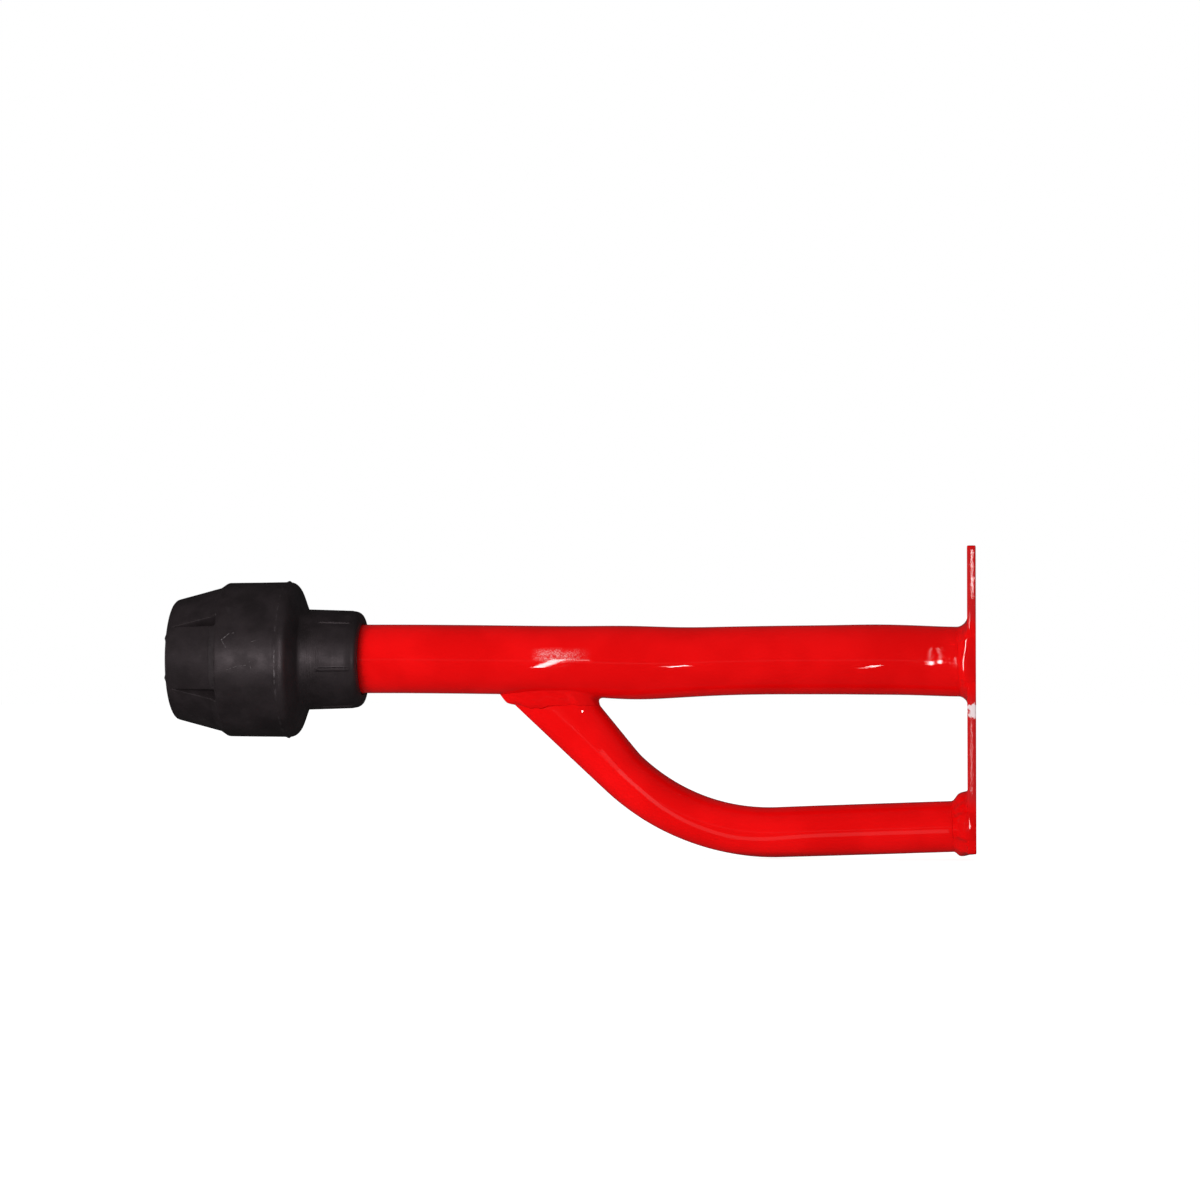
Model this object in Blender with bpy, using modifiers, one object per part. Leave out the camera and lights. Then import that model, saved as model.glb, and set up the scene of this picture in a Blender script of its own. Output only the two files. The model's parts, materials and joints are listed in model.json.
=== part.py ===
"""Rubber-tipped bumper arm, modelled as the separate pieces it is made of.

A straight steel tube and a bent brace tube are welded to a flat mounting plate. The brace's
other end is squashed flat, coped and welded under the main tube. A moulded black bumper is
pushed over the main tube's free end, and a bolt in its nose holds it to a nut welded inside
the tube.

Frame: the origin is on the plate's outer face, where the main tube's axis meets it. The arm
runs along -X and +Z is up. Welded neighbours keep a gap of GAP, which the weld stands for.
"""

import math

import bmesh
import bpy
from mathutils import Vector

MM = 0.001
GAP = 0.3 * MM

# Mounting plate, a piece of flat bar
PLATE_THICKNESS = 3.0 * MM
PLATE_WIDTH = 25.0 * MM
PLATE_TOP = 38.9 * MM
PLATE_BOTTOM = -66.3 * MM
PLATE_CORNER_RADIUS = 2.0 * MM
PLATE_HOLE_RADIUS = 4.5 * MM
PLATE_HOLE_HEIGHTS = (27.0 * MM, -30.0 * MM)

# Main tube, along -X
MAIN_RADIUS = 12.0 * MM
MAIN_WALL = 2.0 * MM
MAIN_END = -253.5 * MM

# Brace tube: a foot at the plate, one bend, and a leg that widens as it is squashed flat. The
# squashing pushes most of the leg's spread towards the crotch, so its centre line drifts that way.
BRACE_RADIUS = 8.75 * MM
BRACE_WALL = 1.5 * MM
BRACE_FOOT_HEIGHT = -57.05 * MM
BRACE_FOOT_SLOPE = math.radians(2.1)
BRACE_CORNER_X = -98.2 * MM
BRACE_BEND_RADIUS = 74.6 * MM
BRACE_LEG_ANGLE = math.radians(42.2)
BRACE_FLARE = 0.066
BRACE_DRIFT = 0.082
BRACE_MOST_SPREAD = 1.38
BRACE_LEG_REACH = 60.0 * MM
BRACE_END_HEIGHT = -4.0 * MM

# Welds
MAIN_WELD_LEG = 3.4 * MM
MAIN_WELD_HALF_WIDTH = 13.8 * MM
FOOT_WELD_LEG = 4.2 * MM
FOOT_WELD_HALF_WIDTH = 12.4 * MM
FOOT_WELD_BOTTOM = -67.0 * MM
FOOT_WELD_BORE_RADIUS = 9.2 * MM
PLATE_WELD_SWELL = 0.12
SADDLE_WELD_MAIN_LEGS = (2.0 * MM, 4.2 * MM)
SADDLE_WELD_BRACE_LEGS = (6.0 * MM, 4.2 * MM)
SADDLE_WELD_BULGE = 0.8 * MM
SADDLE_WELD_BEAD_SHARES = (0.25, 0.5, 0.75)
NUT_WELD_OUTER_RADIUS = 11.4 * MM
NUT_WELD_INNER_RADIUS = 8.0 * MM
NUT_WELD_HEIGHT = 1.2 * MM

# Bumper, a moulding turned about the main tube's axis. X places run from the nose to the mouth.
BUMPER_NOSE = -280.0 * MM
BUMPER_NOSE_RADIUS = 19.3 * MM
BUMPER_CONE_START = (-278.4 * MM, 21.2 * MM)
BUMPER_CONE_END = (-263.1 * MM, 25.25 * MM)
BUMPER_DRUM_START = (-260.6 * MM, 26.95 * MM)
BUMPER_RIM = (-237.0 * MM, 27.4 * MM)
BUMPER_RIM_ROUNDING = 2.2 * MM
RIM_ARC_END = math.radians(20)
BUMPER_BACK_END = (-233.5 * MM, 18.4 * MM)
BUMPER_NECK_START = (-232.7 * MM, 17.65 * MM)
BUMPER_NECK_RADIUS = 17.1 * MM
BUMPER_MOUTH = -213.2 * MM
BUMPER_MOUTH_ROUNDING = 3.6 * MM
BUMPER_WEB_BACK = -255.3 * MM
BUMPER_WEB_FRONT = -263.0 * MM
BUMPER_RECESS_RADIUS = 13.0 * MM
BUMPER_BOLT_HOLE_RADIUS = 5.5 * MM
FLUTE_COUNT = 6
FLUTE_FIRST_ANGLE = math.radians(30)
FLUTE_FLOOR_RADIUS = 21.4 * MM
FLUTE_WALL = -261.9 * MM
FLUTE_TOP_RADIUS = 30.0 * MM
FLUTE_HALF_ANGLE = math.radians(26)

# Fasteners, M10
HEX_ACROSS_FLATS = 17.0 * MM
HEX_CHAMFER_ANGLE = math.radians(30)
HEX_FACE_SHARE = 0.97
NUT_HEIGHT = 8.0 * MM
NUT_BORE_RADIUS = 5.2 * MM
BOLT_RADIUS = 4.85 * MM
BOLT_HEAD_HEIGHT = 6.4 * MM
BOLT_LENGTH = 25.0 * MM
BOLT_TIP_CHAMFER = 1.0 * MM
FLAT_WASHER_RADIUS = 12.0 * MM
FLAT_WASHER_BORE_RADIUS = 5.4 * MM
FLAT_WASHER_THICKNESS = 2.0 * MM
SPRING_WASHER_RADIUS = 9.0 * MM
SPRING_WASHER_BORE_RADIUS = 5.2 * MM
SPRING_WASHER_THICKNESS = 2.2 * MM
SPRING_WASHER_SLIT = 1.5 * MM
SPRING_WASHER_SLIT_TILT = math.radians(20)

# Fineness of the round shapes
TURNED_STEPS = 48
BUMPER_STEPS = 66
LOFT_SIDES = 36
BEND_STEPS = 10
LEG_STEPS = 5
ARC_STEPS = 5
RIM_ARC_STEPS = 4
MERGE_DISTANCE = 0.01 * MM

# Finishes: base colour, roughness, metallic
RED_ENAMEL = ((0.78, 0.012, 0.010, 1), 0.25, 0.0)
BLACK_RUBBER = ((0.018, 0.016, 0.017, 1), 0.55, 0.0)
ZINC_PLATE = ((0.60, 0.60, 0.58, 1), 0.35, 1.0)

PARTS = "bumper_arm"
CUTTERS = "cutters"


# ---------------------------------------------------------------- helpers


def clear_scene():
    for obj in list(bpy.data.objects):
        bpy.data.objects.remove(obj, do_unlink=True)
    for name in (PARTS, CUTTERS):
        bpy.context.scene.collection.children.link(bpy.data.collections.new(name))


def finish_of(name, finish):
    colour, roughness, metallic = finish
    material = bpy.data.materials.new(name + "_finish")
    material.use_nodes = True
    shader = material.node_tree.nodes["Principled BSDF"]
    shader.inputs["Base Color"].default_value = colour
    shader.inputs["Roughness"].default_value = roughness
    shader.inputs["Metallic"].default_value = metallic
    return material


def add_object(name, data, collection=PARTS):
    obj = bpy.data.objects.new(name, data)
    bpy.data.collections[collection].objects.link(obj)
    if collection == CUTTERS:
        obj.hide_render = True
        obj.display_type = "WIRE"
    return obj


def mesh_from(name, bm):
    """A mesh of this bmesh, smooth except at its real edges."""
    bmesh.ops.recalc_face_normals(bm, faces=bm.faces)
    mesh = bpy.data.meshes.new(name)
    bm.to_mesh(mesh)
    bm.free()
    mesh.shade_smooth()
    mesh.set_sharp_from_angle(angle=math.radians(35))
    return mesh


def turned(name, profile, collection=PARTS, steps=TURNED_STEPS, height=0.0):
    """A solid turned about a line along X at this height.

    The profile is an outline of (x, radius) points. It starts at the nose end of the outer side
    and runs to +X, so that the object's own Z axis, which points to -X, sees it run down. An
    outline that starts and ends on the axis stays open there, and any other is closed.
    """
    mesh = bpy.data.meshes.new(name)
    points = [(radius, 0.0, -x) for x, radius in profile]
    count = len(points)
    edges = [(i, i + 1) for i in range(count - 1)]
    if profile[0][1] > 0:
        edges.append((count - 1, 0))
    mesh.from_pydata(points, edges, [])
    obj = add_object(name, mesh, collection)
    obj.rotation_euler = (0.0, -math.pi / 2, 0.0)
    obj.location.z = height
    screw = obj.modifiers.new("turn", "SCREW")
    screw.axis = "Z"
    screw.angle = math.tau
    screw.steps = steps
    screw.render_steps = steps
    screw.use_merge_vertices = True
    screw.merge_threshold = MERGE_DISTANCE
    screw.use_smooth_shade = True
    return obj


def box(name, low, high, collection=CUTTERS):
    """A box between two corners."""
    bm = bmesh.new()
    bmesh.ops.create_cube(bm, size=1.0)
    low, high = Vector(low), Vector(high)
    size = high - low
    bmesh.ops.scale(bm, vec=size, verts=bm.verts)
    bmesh.ops.translate(bm, vec=(low + high) / 2, verts=bm.verts)
    return add_object(name, mesh_from(name, bm), collection)


def boolean(obj, other, operation="DIFFERENCE"):
    modifier = obj.modifiers.new(other.name, "BOOLEAN")
    modifier.operation = operation
    modifier.object = other
    modifier.solver = "EXACT"


def arc_points(centre, radius, start, end, steps=ARC_STEPS):
    """Points along an arc, angles from +X towards a larger second coordinate."""
    points = []
    for i in range(steps + 1):
        angle = start + (end - start) * i / steps
        points.append(
            (centre[0] + radius * math.cos(angle), centre[1] + radius * math.sin(angle))
        )
    return points


def paint(obj, finish):
    obj.data.materials.clear()
    obj.data.materials.append(finish_of(obj.name, finish))


def hexagon(name, x_low, x_high, collection):
    """A hexagonal prism along X, flats up and down, for spanner flats HEX_ACROSS_FLATS apart."""
    corner_radius = HEX_ACROSS_FLATS / math.sqrt(3)
    bm = bmesh.new()
    bmesh.ops.create_cone(
        bm,
        cap_ends=True,
        segments=6,
        radius1=corner_radius,
        radius2=corner_radius,
        depth=x_high - x_low,
    )
    obj = add_object(name, mesh_from(name, bm), collection)
    obj.rotation_euler = (0.0, -math.pi / 2, 0.0)
    obj.location.x = (x_low + x_high) / 2
    return obj


# ---------------------------------------------------------------- brace geometry


def brace_path():
    """The brace's guide line from the plate to inside the main tube, and where its leg starts.

    Each place on the line is a (centre, direction) pair.
    """
    foot_direction = Vector((-math.cos(BRACE_FOOT_SLOPE), 0, -math.sin(BRACE_FOOT_SLOPE)))
    leg_direction = Vector((-math.cos(BRACE_LEG_ANGLE), 0, math.sin(BRACE_LEG_ANGLE)))
    foot = Vector((-(PLATE_THICKNESS + GAP), 0, BRACE_FOOT_HEIGHT))
    corner = foot + foot_direction * ((BRACE_CORNER_X - foot.x) / foot_direction.x)
    bend_angle = BRACE_LEG_ANGLE + BRACE_FOOT_SLOPE
    tangent_length = BRACE_BEND_RADIUS * math.tan(bend_angle / 2)
    bend_start = corner - foot_direction * tangent_length
    centre = bend_start + Vector((-foot_direction.z, 0, foot_direction.x)) * -BRACE_BEND_RADIUS
    path = [(foot, Vector((-1, 0, 0)))]
    for i in range(BEND_STEPS + 1):
        turn = BRACE_FOOT_SLOPE - bend_angle * i / BEND_STEPS
        direction = Vector((-math.cos(turn), 0, -math.sin(turn)))
        outward = Vector((-direction.z, 0, direction.x))
        path.append((centre + outward * BRACE_BEND_RADIUS, direction))
    leg_start = path[-1][0]
    leg_length = (BRACE_END_HEIGHT - leg_start.z) / leg_direction.z
    for i in range(1, LEG_STEPS + 1):
        path.append((leg_start + leg_direction * leg_length * i / LEG_STEPS, leg_direction))
    return path, leg_start


def brace_section(centre, direction, leg_start):
    """The section at a place on the guide line: its middle, and its half width and half depth.

    The squashed end keeps the round tube's girth, so it loses in depth what it gains in width.
    """
    along_leg = (centre - leg_start).length if centre.z > leg_start.z else 0.0
    half_width = BRACE_RADIUS + BRACE_FLARE * along_leg
    half_width = min(half_width, BRACE_MOST_SPREAD * BRACE_RADIUS)
    half_depth = math.sqrt(2 * BRACE_RADIUS**2 - half_width**2)
    towards_crotch = Vector((direction.z, 0, -direction.x))
    return centre + towards_crotch * BRACE_DRIFT * along_leg, half_width, half_depth


def section_ring(bm, middle, direction, half_width, half_depth):
    """The points of one elliptical section, square to the direction."""
    across = Vector((-direction.z, 0, direction.x))
    depth = Vector((0, 1, 0))
    ring = []
    for i in range(LOFT_SIDES):
        angle = math.tau * i / LOFT_SIDES
        offset = across * (half_width * math.cos(angle)) + depth * (half_depth * math.sin(angle))
        ring.append(bm.verts.new(middle + offset))
    return ring


def join_rings(bm, first, second):
    for i in range(LOFT_SIDES):
        after = (i + 1) % LOFT_SIDES
        bm.faces.new((first[i], first[after], second[after], second[i]))


def lofted_brace():
    """The brace as a loft through its sections, with an outer and an inner skin."""
    path, leg_start = brace_path()
    bm = bmesh.new()
    skins = []
    for inset in (0.0, BRACE_WALL):
        rings = []
        for centre, direction in path:
            middle, half_width, half_depth = brace_section(centre, direction, leg_start)
            width, depth = half_width - inset, half_depth - inset
            rings.append(section_ring(bm, middle, direction, width, depth))
        for first, second in zip(rings, rings[1:]):
            join_rings(bm, first, second)
        skins.append(rings)
    outer, inner = skins
    join_rings(bm, outer[0], inner[0])
    join_rings(bm, outer[-1], inner[-1])
    return add_object("brace_tube", mesh_from("brace_tube", bm))


def leg_point(angle, along, grow):
    """A point on the leg's outside, this far along it from the bend and grown by this much."""
    path, leg_start = brace_path()
    direction = path[-1][1]
    centre = leg_start + direction * along
    middle, half_width, half_depth = brace_section(centre, direction, leg_start)
    across = Vector((-direction.z, 0, direction.x))
    point = middle + across * (half_width + grow) * math.cos(angle)
    point.y = (half_depth + grow) * math.sin(angle)
    return point


def saddle_place(angle):
    """How far along the leg its outside meets the main tube's outside, a gap away from both."""
    near, far = 0.0, BRACE_LEG_REACH
    for _ in range(30):
        middle = (near + far) / 2
        point = leg_point(angle, middle, GAP)
        if math.hypot(point.y, point.z) > MAIN_RADIUS + GAP:
            near = middle
        else:
            far = middle
    return near


# ---------------------------------------------------------------- frame pieces


def mounting_plate():
    """Flat bar with rounded corners and two bolt holes, as a filled outline with thickness."""
    half = PLATE_WIDTH / 2 - PLATE_CORNER_RADIUS
    high = PLATE_TOP - PLATE_CORNER_RADIUS
    low = PLATE_BOTTOM + PLATE_CORNER_RADIUS
    outline = []
    corners = ((half, high), (-half, high), (-half, low), (half, low))
    for i, corner in enumerate(corners):
        start = i * math.pi / 2
        outline += arc_points(corner, PLATE_CORNER_RADIUS, start, start + math.pi / 2)
    loops = [outline]
    for height in PLATE_HOLE_HEIGHTS:
        full = arc_points((0.0, height), PLATE_HOLE_RADIUS, 0.0, math.tau, TURNED_STEPS)
        loops.append(full[:-1])
    curve = bpy.data.curves.new("plate_outline", "CURVE")
    curve.dimensions = "2D"
    curve.fill_mode = "BOTH"
    curve.extrude = PLATE_THICKNESS / 2
    for loop in loops:
        spline = curve.splines.new("POLY")
        spline.points.add(len(loop) - 1)
        for point, (across, up) in zip(spline.points, loop):
            point.co = (across, up, 0.0, 1.0)
        spline.use_cyclic_u = True
    plate = add_object("mounting_plate", curve)
    plate.rotation_euler = (math.pi / 2, 0.0, math.pi / 2)
    plate.location.x = -PLATE_THICKNESS / 2
    paint(plate, RED_ENAMEL)
    return plate


def main_tube():
    start = -(PLATE_THICKNESS + GAP)
    bore = MAIN_RADIUS - MAIN_WALL
    profile = [(MAIN_END, MAIN_RADIUS), (start, MAIN_RADIUS), (start, bore), (MAIN_END, bore)]
    tube = turned("main_tube", profile)
    paint(tube, RED_ENAMEL)
    return tube


def main_clearance():
    """A rod a gap wider than the main tube, for cutting what is fitted round it."""
    reach = MAIN_RADIUS + GAP
    profile = [(MAIN_END, 0.0), (MAIN_END, reach), (0.0, reach), (0.0, 0.0)]
    return turned("main_tube_clearance", profile, CUTTERS)


def brace_tube(clearance):
    brace = lofted_brace()
    boolean(brace, clearance)
    paint(brace, RED_ENAMEL)
    return brace


def fillet_profile(bore_radius, leg):
    """A bulging fillet between the plate's inner face and a tube, as (x, radius) points."""
    toe = -(PLATE_THICKNESS + GAP)
    bulge = PLATE_WELD_SWELL * leg
    points = []
    for i in range(ARC_STEPS + 1):
        share = i / ARC_STEPS
        swell = bulge * math.sin(math.pi * share)
        points.append((toe - leg * (1 - share) - swell, bore_radius + leg * share + swell))
    return points + [(toe, bore_radius)]


def weld_main_to_plate():
    weld = turned("weld_main_to_plate", fillet_profile(MAIN_RADIUS + GAP, MAIN_WELD_LEG))
    reach = MAIN_RADIUS + 2 * MAIN_WELD_LEG
    side = MAIN_WELD_HALF_WIDTH
    keep = box("main_weld_limit", (-reach, -side, -reach), (0.0, side, reach))
    boolean(weld, keep, "INTERSECT")
    paint(weld, RED_ENAMEL)
    return weld


def weld_brace_to_plate():
    profile = fillet_profile(FOOT_WELD_BORE_RADIUS, FOOT_WELD_LEG)
    weld = turned("weld_brace_to_plate", profile, height=BRACE_FOOT_HEIGHT)
    reach = FOOT_WELD_BORE_RADIUS + 2 * FOOT_WELD_LEG
    side = FOOT_WELD_HALF_WIDTH
    low = (-reach, -side, FOOT_WELD_BOTTOM)
    high = (0.0, side, BRACE_FOOT_HEIGHT + reach)
    boolean(weld, box("foot_weld_limit", low, high), "INTERSECT")
    paint(weld, RED_ENAMEL)
    return weld


def saddle_section(angle):
    """One section of the saddle weld: root, toe on the main tube, bead, toe on the brace."""
    crotch_share = (1 + math.cos(angle)) / 2
    main_leg, brace_leg = (
        heel + (crotch - heel) * crotch_share
        for heel, crotch in (SADDLE_WELD_MAIN_LEGS, SADDLE_WELD_BRACE_LEGS)
    )
    place = saddle_place(angle)
    root = leg_point(angle, place, GAP)
    brace_toe = leg_point(angle, place - brace_leg, GAP)
    outward = root - leg_point(angle, place, 0.0)
    reach = MAIN_RADIUS + GAP
    round_angle = math.atan2(root.y, -root.z)
    sideways = outward.y * math.cos(round_angle) + outward.z * math.sin(round_angle)
    scale = main_leg / math.hypot(outward.x, sideways)
    toe_angle = round_angle + sideways * scale / reach
    main_toe = Vector(
        (root.x + outward.x * scale, reach * math.sin(toe_angle), -reach * math.cos(toe_angle))
    )
    section = [root, main_toe]
    for share in SADDLE_WELD_BEAD_SHARES:
        chord = main_toe.lerp(brace_toe, share)
        swell = (chord - root).normalized() * SADDLE_WELD_BULGE
        section.append(chord + swell * math.sin(math.pi * share))
    return section + [brace_toe]


def weld_brace_to_main():
    """A closed ring of sections round the squashed end."""
    bm = bmesh.new()
    rings = []
    for i in range(LOFT_SIDES):
        section = saddle_section(math.tau * i / LOFT_SIDES)
        rings.append([bm.verts.new(point) for point in section])
    for first, second in zip(rings, rings[1:] + rings[:1]):
        for i in range(len(first)):
            after = (i + 1) % len(first)
            bm.faces.new((first[i], first[after], second[after], second[i]))
    weld = add_object("weld_brace_to_main", mesh_from("weld_brace_to_main", bm))
    paint(weld, RED_ENAMEL)
    return weld


def chamfer_limit(name, x_low, x_high, both_ends):
    """A turned body that trims a hexagon's corners at -X, and at +X too if both_ends."""
    face_radius = HEX_ACROSS_FLATS / 2 * HEX_FACE_SHARE
    full_radius = HEX_ACROSS_FLATS / math.sqrt(3) + GAP
    slope = (full_radius - face_radius) * math.tan(HEX_CHAMFER_ANGLE)
    profile = [(x_low, 0.0), (x_low, face_radius), (x_low + slope, full_radius)]
    if both_ends:
        profile += [(x_high - slope, full_radius), (x_high, face_radius), (x_high, 0.0)]
    else:
        profile += [(x_high, full_radius), (x_high, 0.0)]
    return turned(name, profile, CUTTERS)


def tube_end_nut():
    low = MAIN_END
    high = MAIN_END + NUT_HEIGHT
    nut = hexagon("tube_end_nut", low, high, PARTS)
    boolean(nut, chamfer_limit("nut_chamfer", low, high, True), "INTERSECT")
    past = NUT_HEIGHT
    bore = [(low - past, 0.0), (low - past, NUT_BORE_RADIUS)]
    bore += [(high + past, NUT_BORE_RADIUS), (high + past, 0.0)]
    boolean(nut, turned("nut_bore", bore, CUTTERS))
    paint(nut, ZINC_PLATE)
    return nut


def weld_nut_to_tube():
    """A low ring of weld over the joint between the nut's face and the tube's end."""
    base = MAIN_END - GAP
    top = base - NUT_WELD_HEIGHT
    shoulder = NUT_WELD_HEIGHT / 2
    profile = [
        (top, NUT_WELD_OUTER_RADIUS - shoulder),
        (top + shoulder, NUT_WELD_OUTER_RADIUS),
        (base, NUT_WELD_OUTER_RADIUS),
        (base, NUT_WELD_INNER_RADIUS),
        (top + shoulder, NUT_WELD_INNER_RADIUS),
        (top, NUT_WELD_INNER_RADIUS + shoulder),
    ]
    weld = turned("weld_nut_to_tube", profile)
    paint(weld, RED_ENAMEL)
    return weld


# ---------------------------------------------------------------- bumper


def bumper_outline():
    """The bumper's outside from nose to mouth, then back through its bore, web and recess."""
    rim_x, rim_radius = BUMPER_RIM
    rounding = BUMPER_RIM_ROUNDING
    mouth_rounding = BUMPER_MOUTH_ROUNDING
    bore = MAIN_RADIUS + GAP
    outline = [(BUMPER_NOSE, BUMPER_NOSE_RADIUS), BUMPER_CONE_START, BUMPER_CONE_END]
    outline += [BUMPER_DRUM_START, (rim_x - rounding, rim_radius)]
    rim_centre = (rim_x - rounding, rim_radius - rounding)
    outline += arc_points(rim_centre, rounding, math.pi / 2, RIM_ARC_END, RIM_ARC_STEPS)[1:]
    outline += [BUMPER_BACK_END, BUMPER_NECK_START]
    mouth_centre = (BUMPER_MOUTH - mouth_rounding, BUMPER_NECK_RADIUS - mouth_rounding)
    outline += arc_points(mouth_centre, mouth_rounding, math.pi / 2, 0.0)
    outline += [(BUMPER_MOUTH, bore), (BUMPER_WEB_BACK, bore)]
    outline += [(BUMPER_WEB_BACK, BUMPER_BOLT_HOLE_RADIUS)]
    outline += [(BUMPER_WEB_FRONT, BUMPER_BOLT_HOLE_RADIUS)]
    outline += [(BUMPER_WEB_FRONT, BUMPER_RECESS_RADIUS), (BUMPER_NOSE, BUMPER_RECESS_RADIUS)]
    return outline


def flute_cutter(number):
    """A wedge with its edge on the flute's floor and a square end at the step."""
    spread = (FLUTE_TOP_RADIUS - FLUTE_FLOOR_RADIUS) * math.tan(FLUTE_HALF_ANGLE)
    bm = bmesh.new()
    ends = []
    for x in (BUMPER_NOSE - 2 * MM, FLUTE_WALL):
        corners = (
            (x, 0.0, FLUTE_FLOOR_RADIUS),
            (x, spread, FLUTE_TOP_RADIUS),
            (x, -spread, FLUTE_TOP_RADIUS),
        )
        ends.append([bm.verts.new(corner) for corner in corners])
    first, second = ends
    bm.faces.new(first)
    bm.faces.new(second)
    for i in range(3):
        after = (i + 1) % 3
        bm.faces.new((first[i], first[after], second[after], second[i]))
    cutter = add_object(f"flute_{number}", mesh_from(f"flute_{number}", bm), CUTTERS)
    cutter.rotation_euler.x = FLUTE_FIRST_ANGLE + math.tau * number / FLUTE_COUNT
    return cutter


def rubber_bumper():
    bumper = turned("rubber_bumper", bumper_outline(), steps=BUMPER_STEPS)
    for number in range(FLUTE_COUNT):
        boolean(bumper, flute_cutter(number))
    paint(bumper, BLACK_RUBBER)
    return bumper


# ---------------------------------------------------------------- fasteners


def stack_places():
    """X places under the bolt's head: the flat washer's, spring washer's and head's seats."""
    flat_seat = BUMPER_WEB_FRONT - GAP
    spring_seat = flat_seat - FLAT_WASHER_THICKNESS - GAP
    head_seat = spring_seat - SPRING_WASHER_THICKNESS - GAP
    return flat_seat, spring_seat, head_seat


def ring_profile(seat, thickness, outer, bore):
    return [(seat - thickness, outer), (seat, outer), (seat, bore), (seat - thickness, bore)]


def flat_washer():
    seat = stack_places()[0]
    profile = ring_profile(
        seat, FLAT_WASHER_THICKNESS, FLAT_WASHER_RADIUS, FLAT_WASHER_BORE_RADIUS
    )
    washer = turned("flat_washer", profile)
    paint(washer, ZINC_PLATE)
    return washer


def spring_washer():
    """A ring with one slanting slit."""
    seat = stack_places()[1]
    profile = ring_profile(
        seat, SPRING_WASHER_THICKNESS, SPRING_WASHER_RADIUS, SPRING_WASHER_BORE_RADIUS
    )
    washer = turned("spring_washer", profile)
    length = 2 * SPRING_WASHER_THICKNESS
    half_slit = SPRING_WASHER_SLIT / 2
    low = (-length, -half_slit, 0.0)
    high = (length, half_slit, 2 * SPRING_WASHER_RADIUS)
    slit = box("spring_washer_slit", low, high)
    slit.location.x = seat - SPRING_WASHER_THICKNESS / 2
    slit.rotation_euler.z = SPRING_WASHER_SLIT_TILT
    boolean(washer, slit)
    paint(washer, ZINC_PLATE)
    return washer


def bumper_bolt():
    """Hexagon bolt, head towards the nose, with its thread as a plain rod."""
    seat = stack_places()[2]
    top = seat - BOLT_HEAD_HEIGHT
    tip = seat + BOLT_LENGTH
    bolt = hexagon("bumper_bolt", top, seat, PARTS)
    boolean(bolt, chamfer_limit("head_chamfer", top, seat, False), "INTERSECT")
    inside = seat - BOLT_HEAD_HEIGHT / 2
    profile = [
        (inside, 0.0),
        (inside, BOLT_RADIUS),
        (tip - BOLT_TIP_CHAMFER, BOLT_RADIUS),
        (tip, BOLT_RADIUS - BOLT_TIP_CHAMFER),
        (tip, 0.0),
    ]
    boolean(bolt, turned("bolt_shank", profile, CUTTERS), "UNION")
    paint(bolt, ZINC_PLATE)
    return bolt


# ---------------------------------------------------------------- assembly


def body_empty(name, x, parent=None):
    """An empty on the main axis that carries one body's pieces."""
    empty = add_object(name, None)
    empty.location.x = x
    bpy.context.view_layer.update()
    if parent is not None:
        attach(empty, parent)
    return empty


def attach(obj, parent):
    """Parents an object and leaves it where it is."""
    obj.parent = parent
    obj.matrix_parent_inverse = parent.matrix_world.inverted()
    bpy.context.view_layer.update()


def assemble():
    clear_scene()
    clearance = main_clearance()
    frame = body_empty("frame_body", 0.0)
    bumper_axis = body_empty("bumper_slide_axis", BUMPER_MOUTH, frame)
    stack_axis = body_empty("bolt_slide_axis", stack_places()[0], bumper_axis)
    bolt_axis = body_empty("bolt_turn_axis", stack_places()[2], stack_axis)
    welded = [
        mounting_plate(),
        main_tube(),
        brace_tube(clearance),
        weld_main_to_plate(),
        weld_brace_to_plate(),
        weld_brace_to_main(),
        tube_end_nut(),
        weld_nut_to_tube(),
    ]
    for piece in welded:
        attach(piece, frame)
    attach(rubber_bumper(), bumper_axis)
    attach(flat_washer(), stack_axis)
    attach(spring_washer(), stack_axis)
    attach(bumper_bolt(), bolt_axis)


assemble()
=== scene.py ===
"""Looks for the rubber-tipped bumper arm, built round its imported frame.

Every piece is rebuilt as a fine mesh in the frame's own coordinates: -X runs along the main tube
to the bumper's nose, +Z is up, and the camera looks along +Y. Shapes are worked out in
millimetres, which MM turns into metres. Materials, lamps and the camera are in metres.
"""
import json
import math

import bmesh
import bpy
import numpy as np
from mathutils import Matrix, Vector, noise

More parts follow.
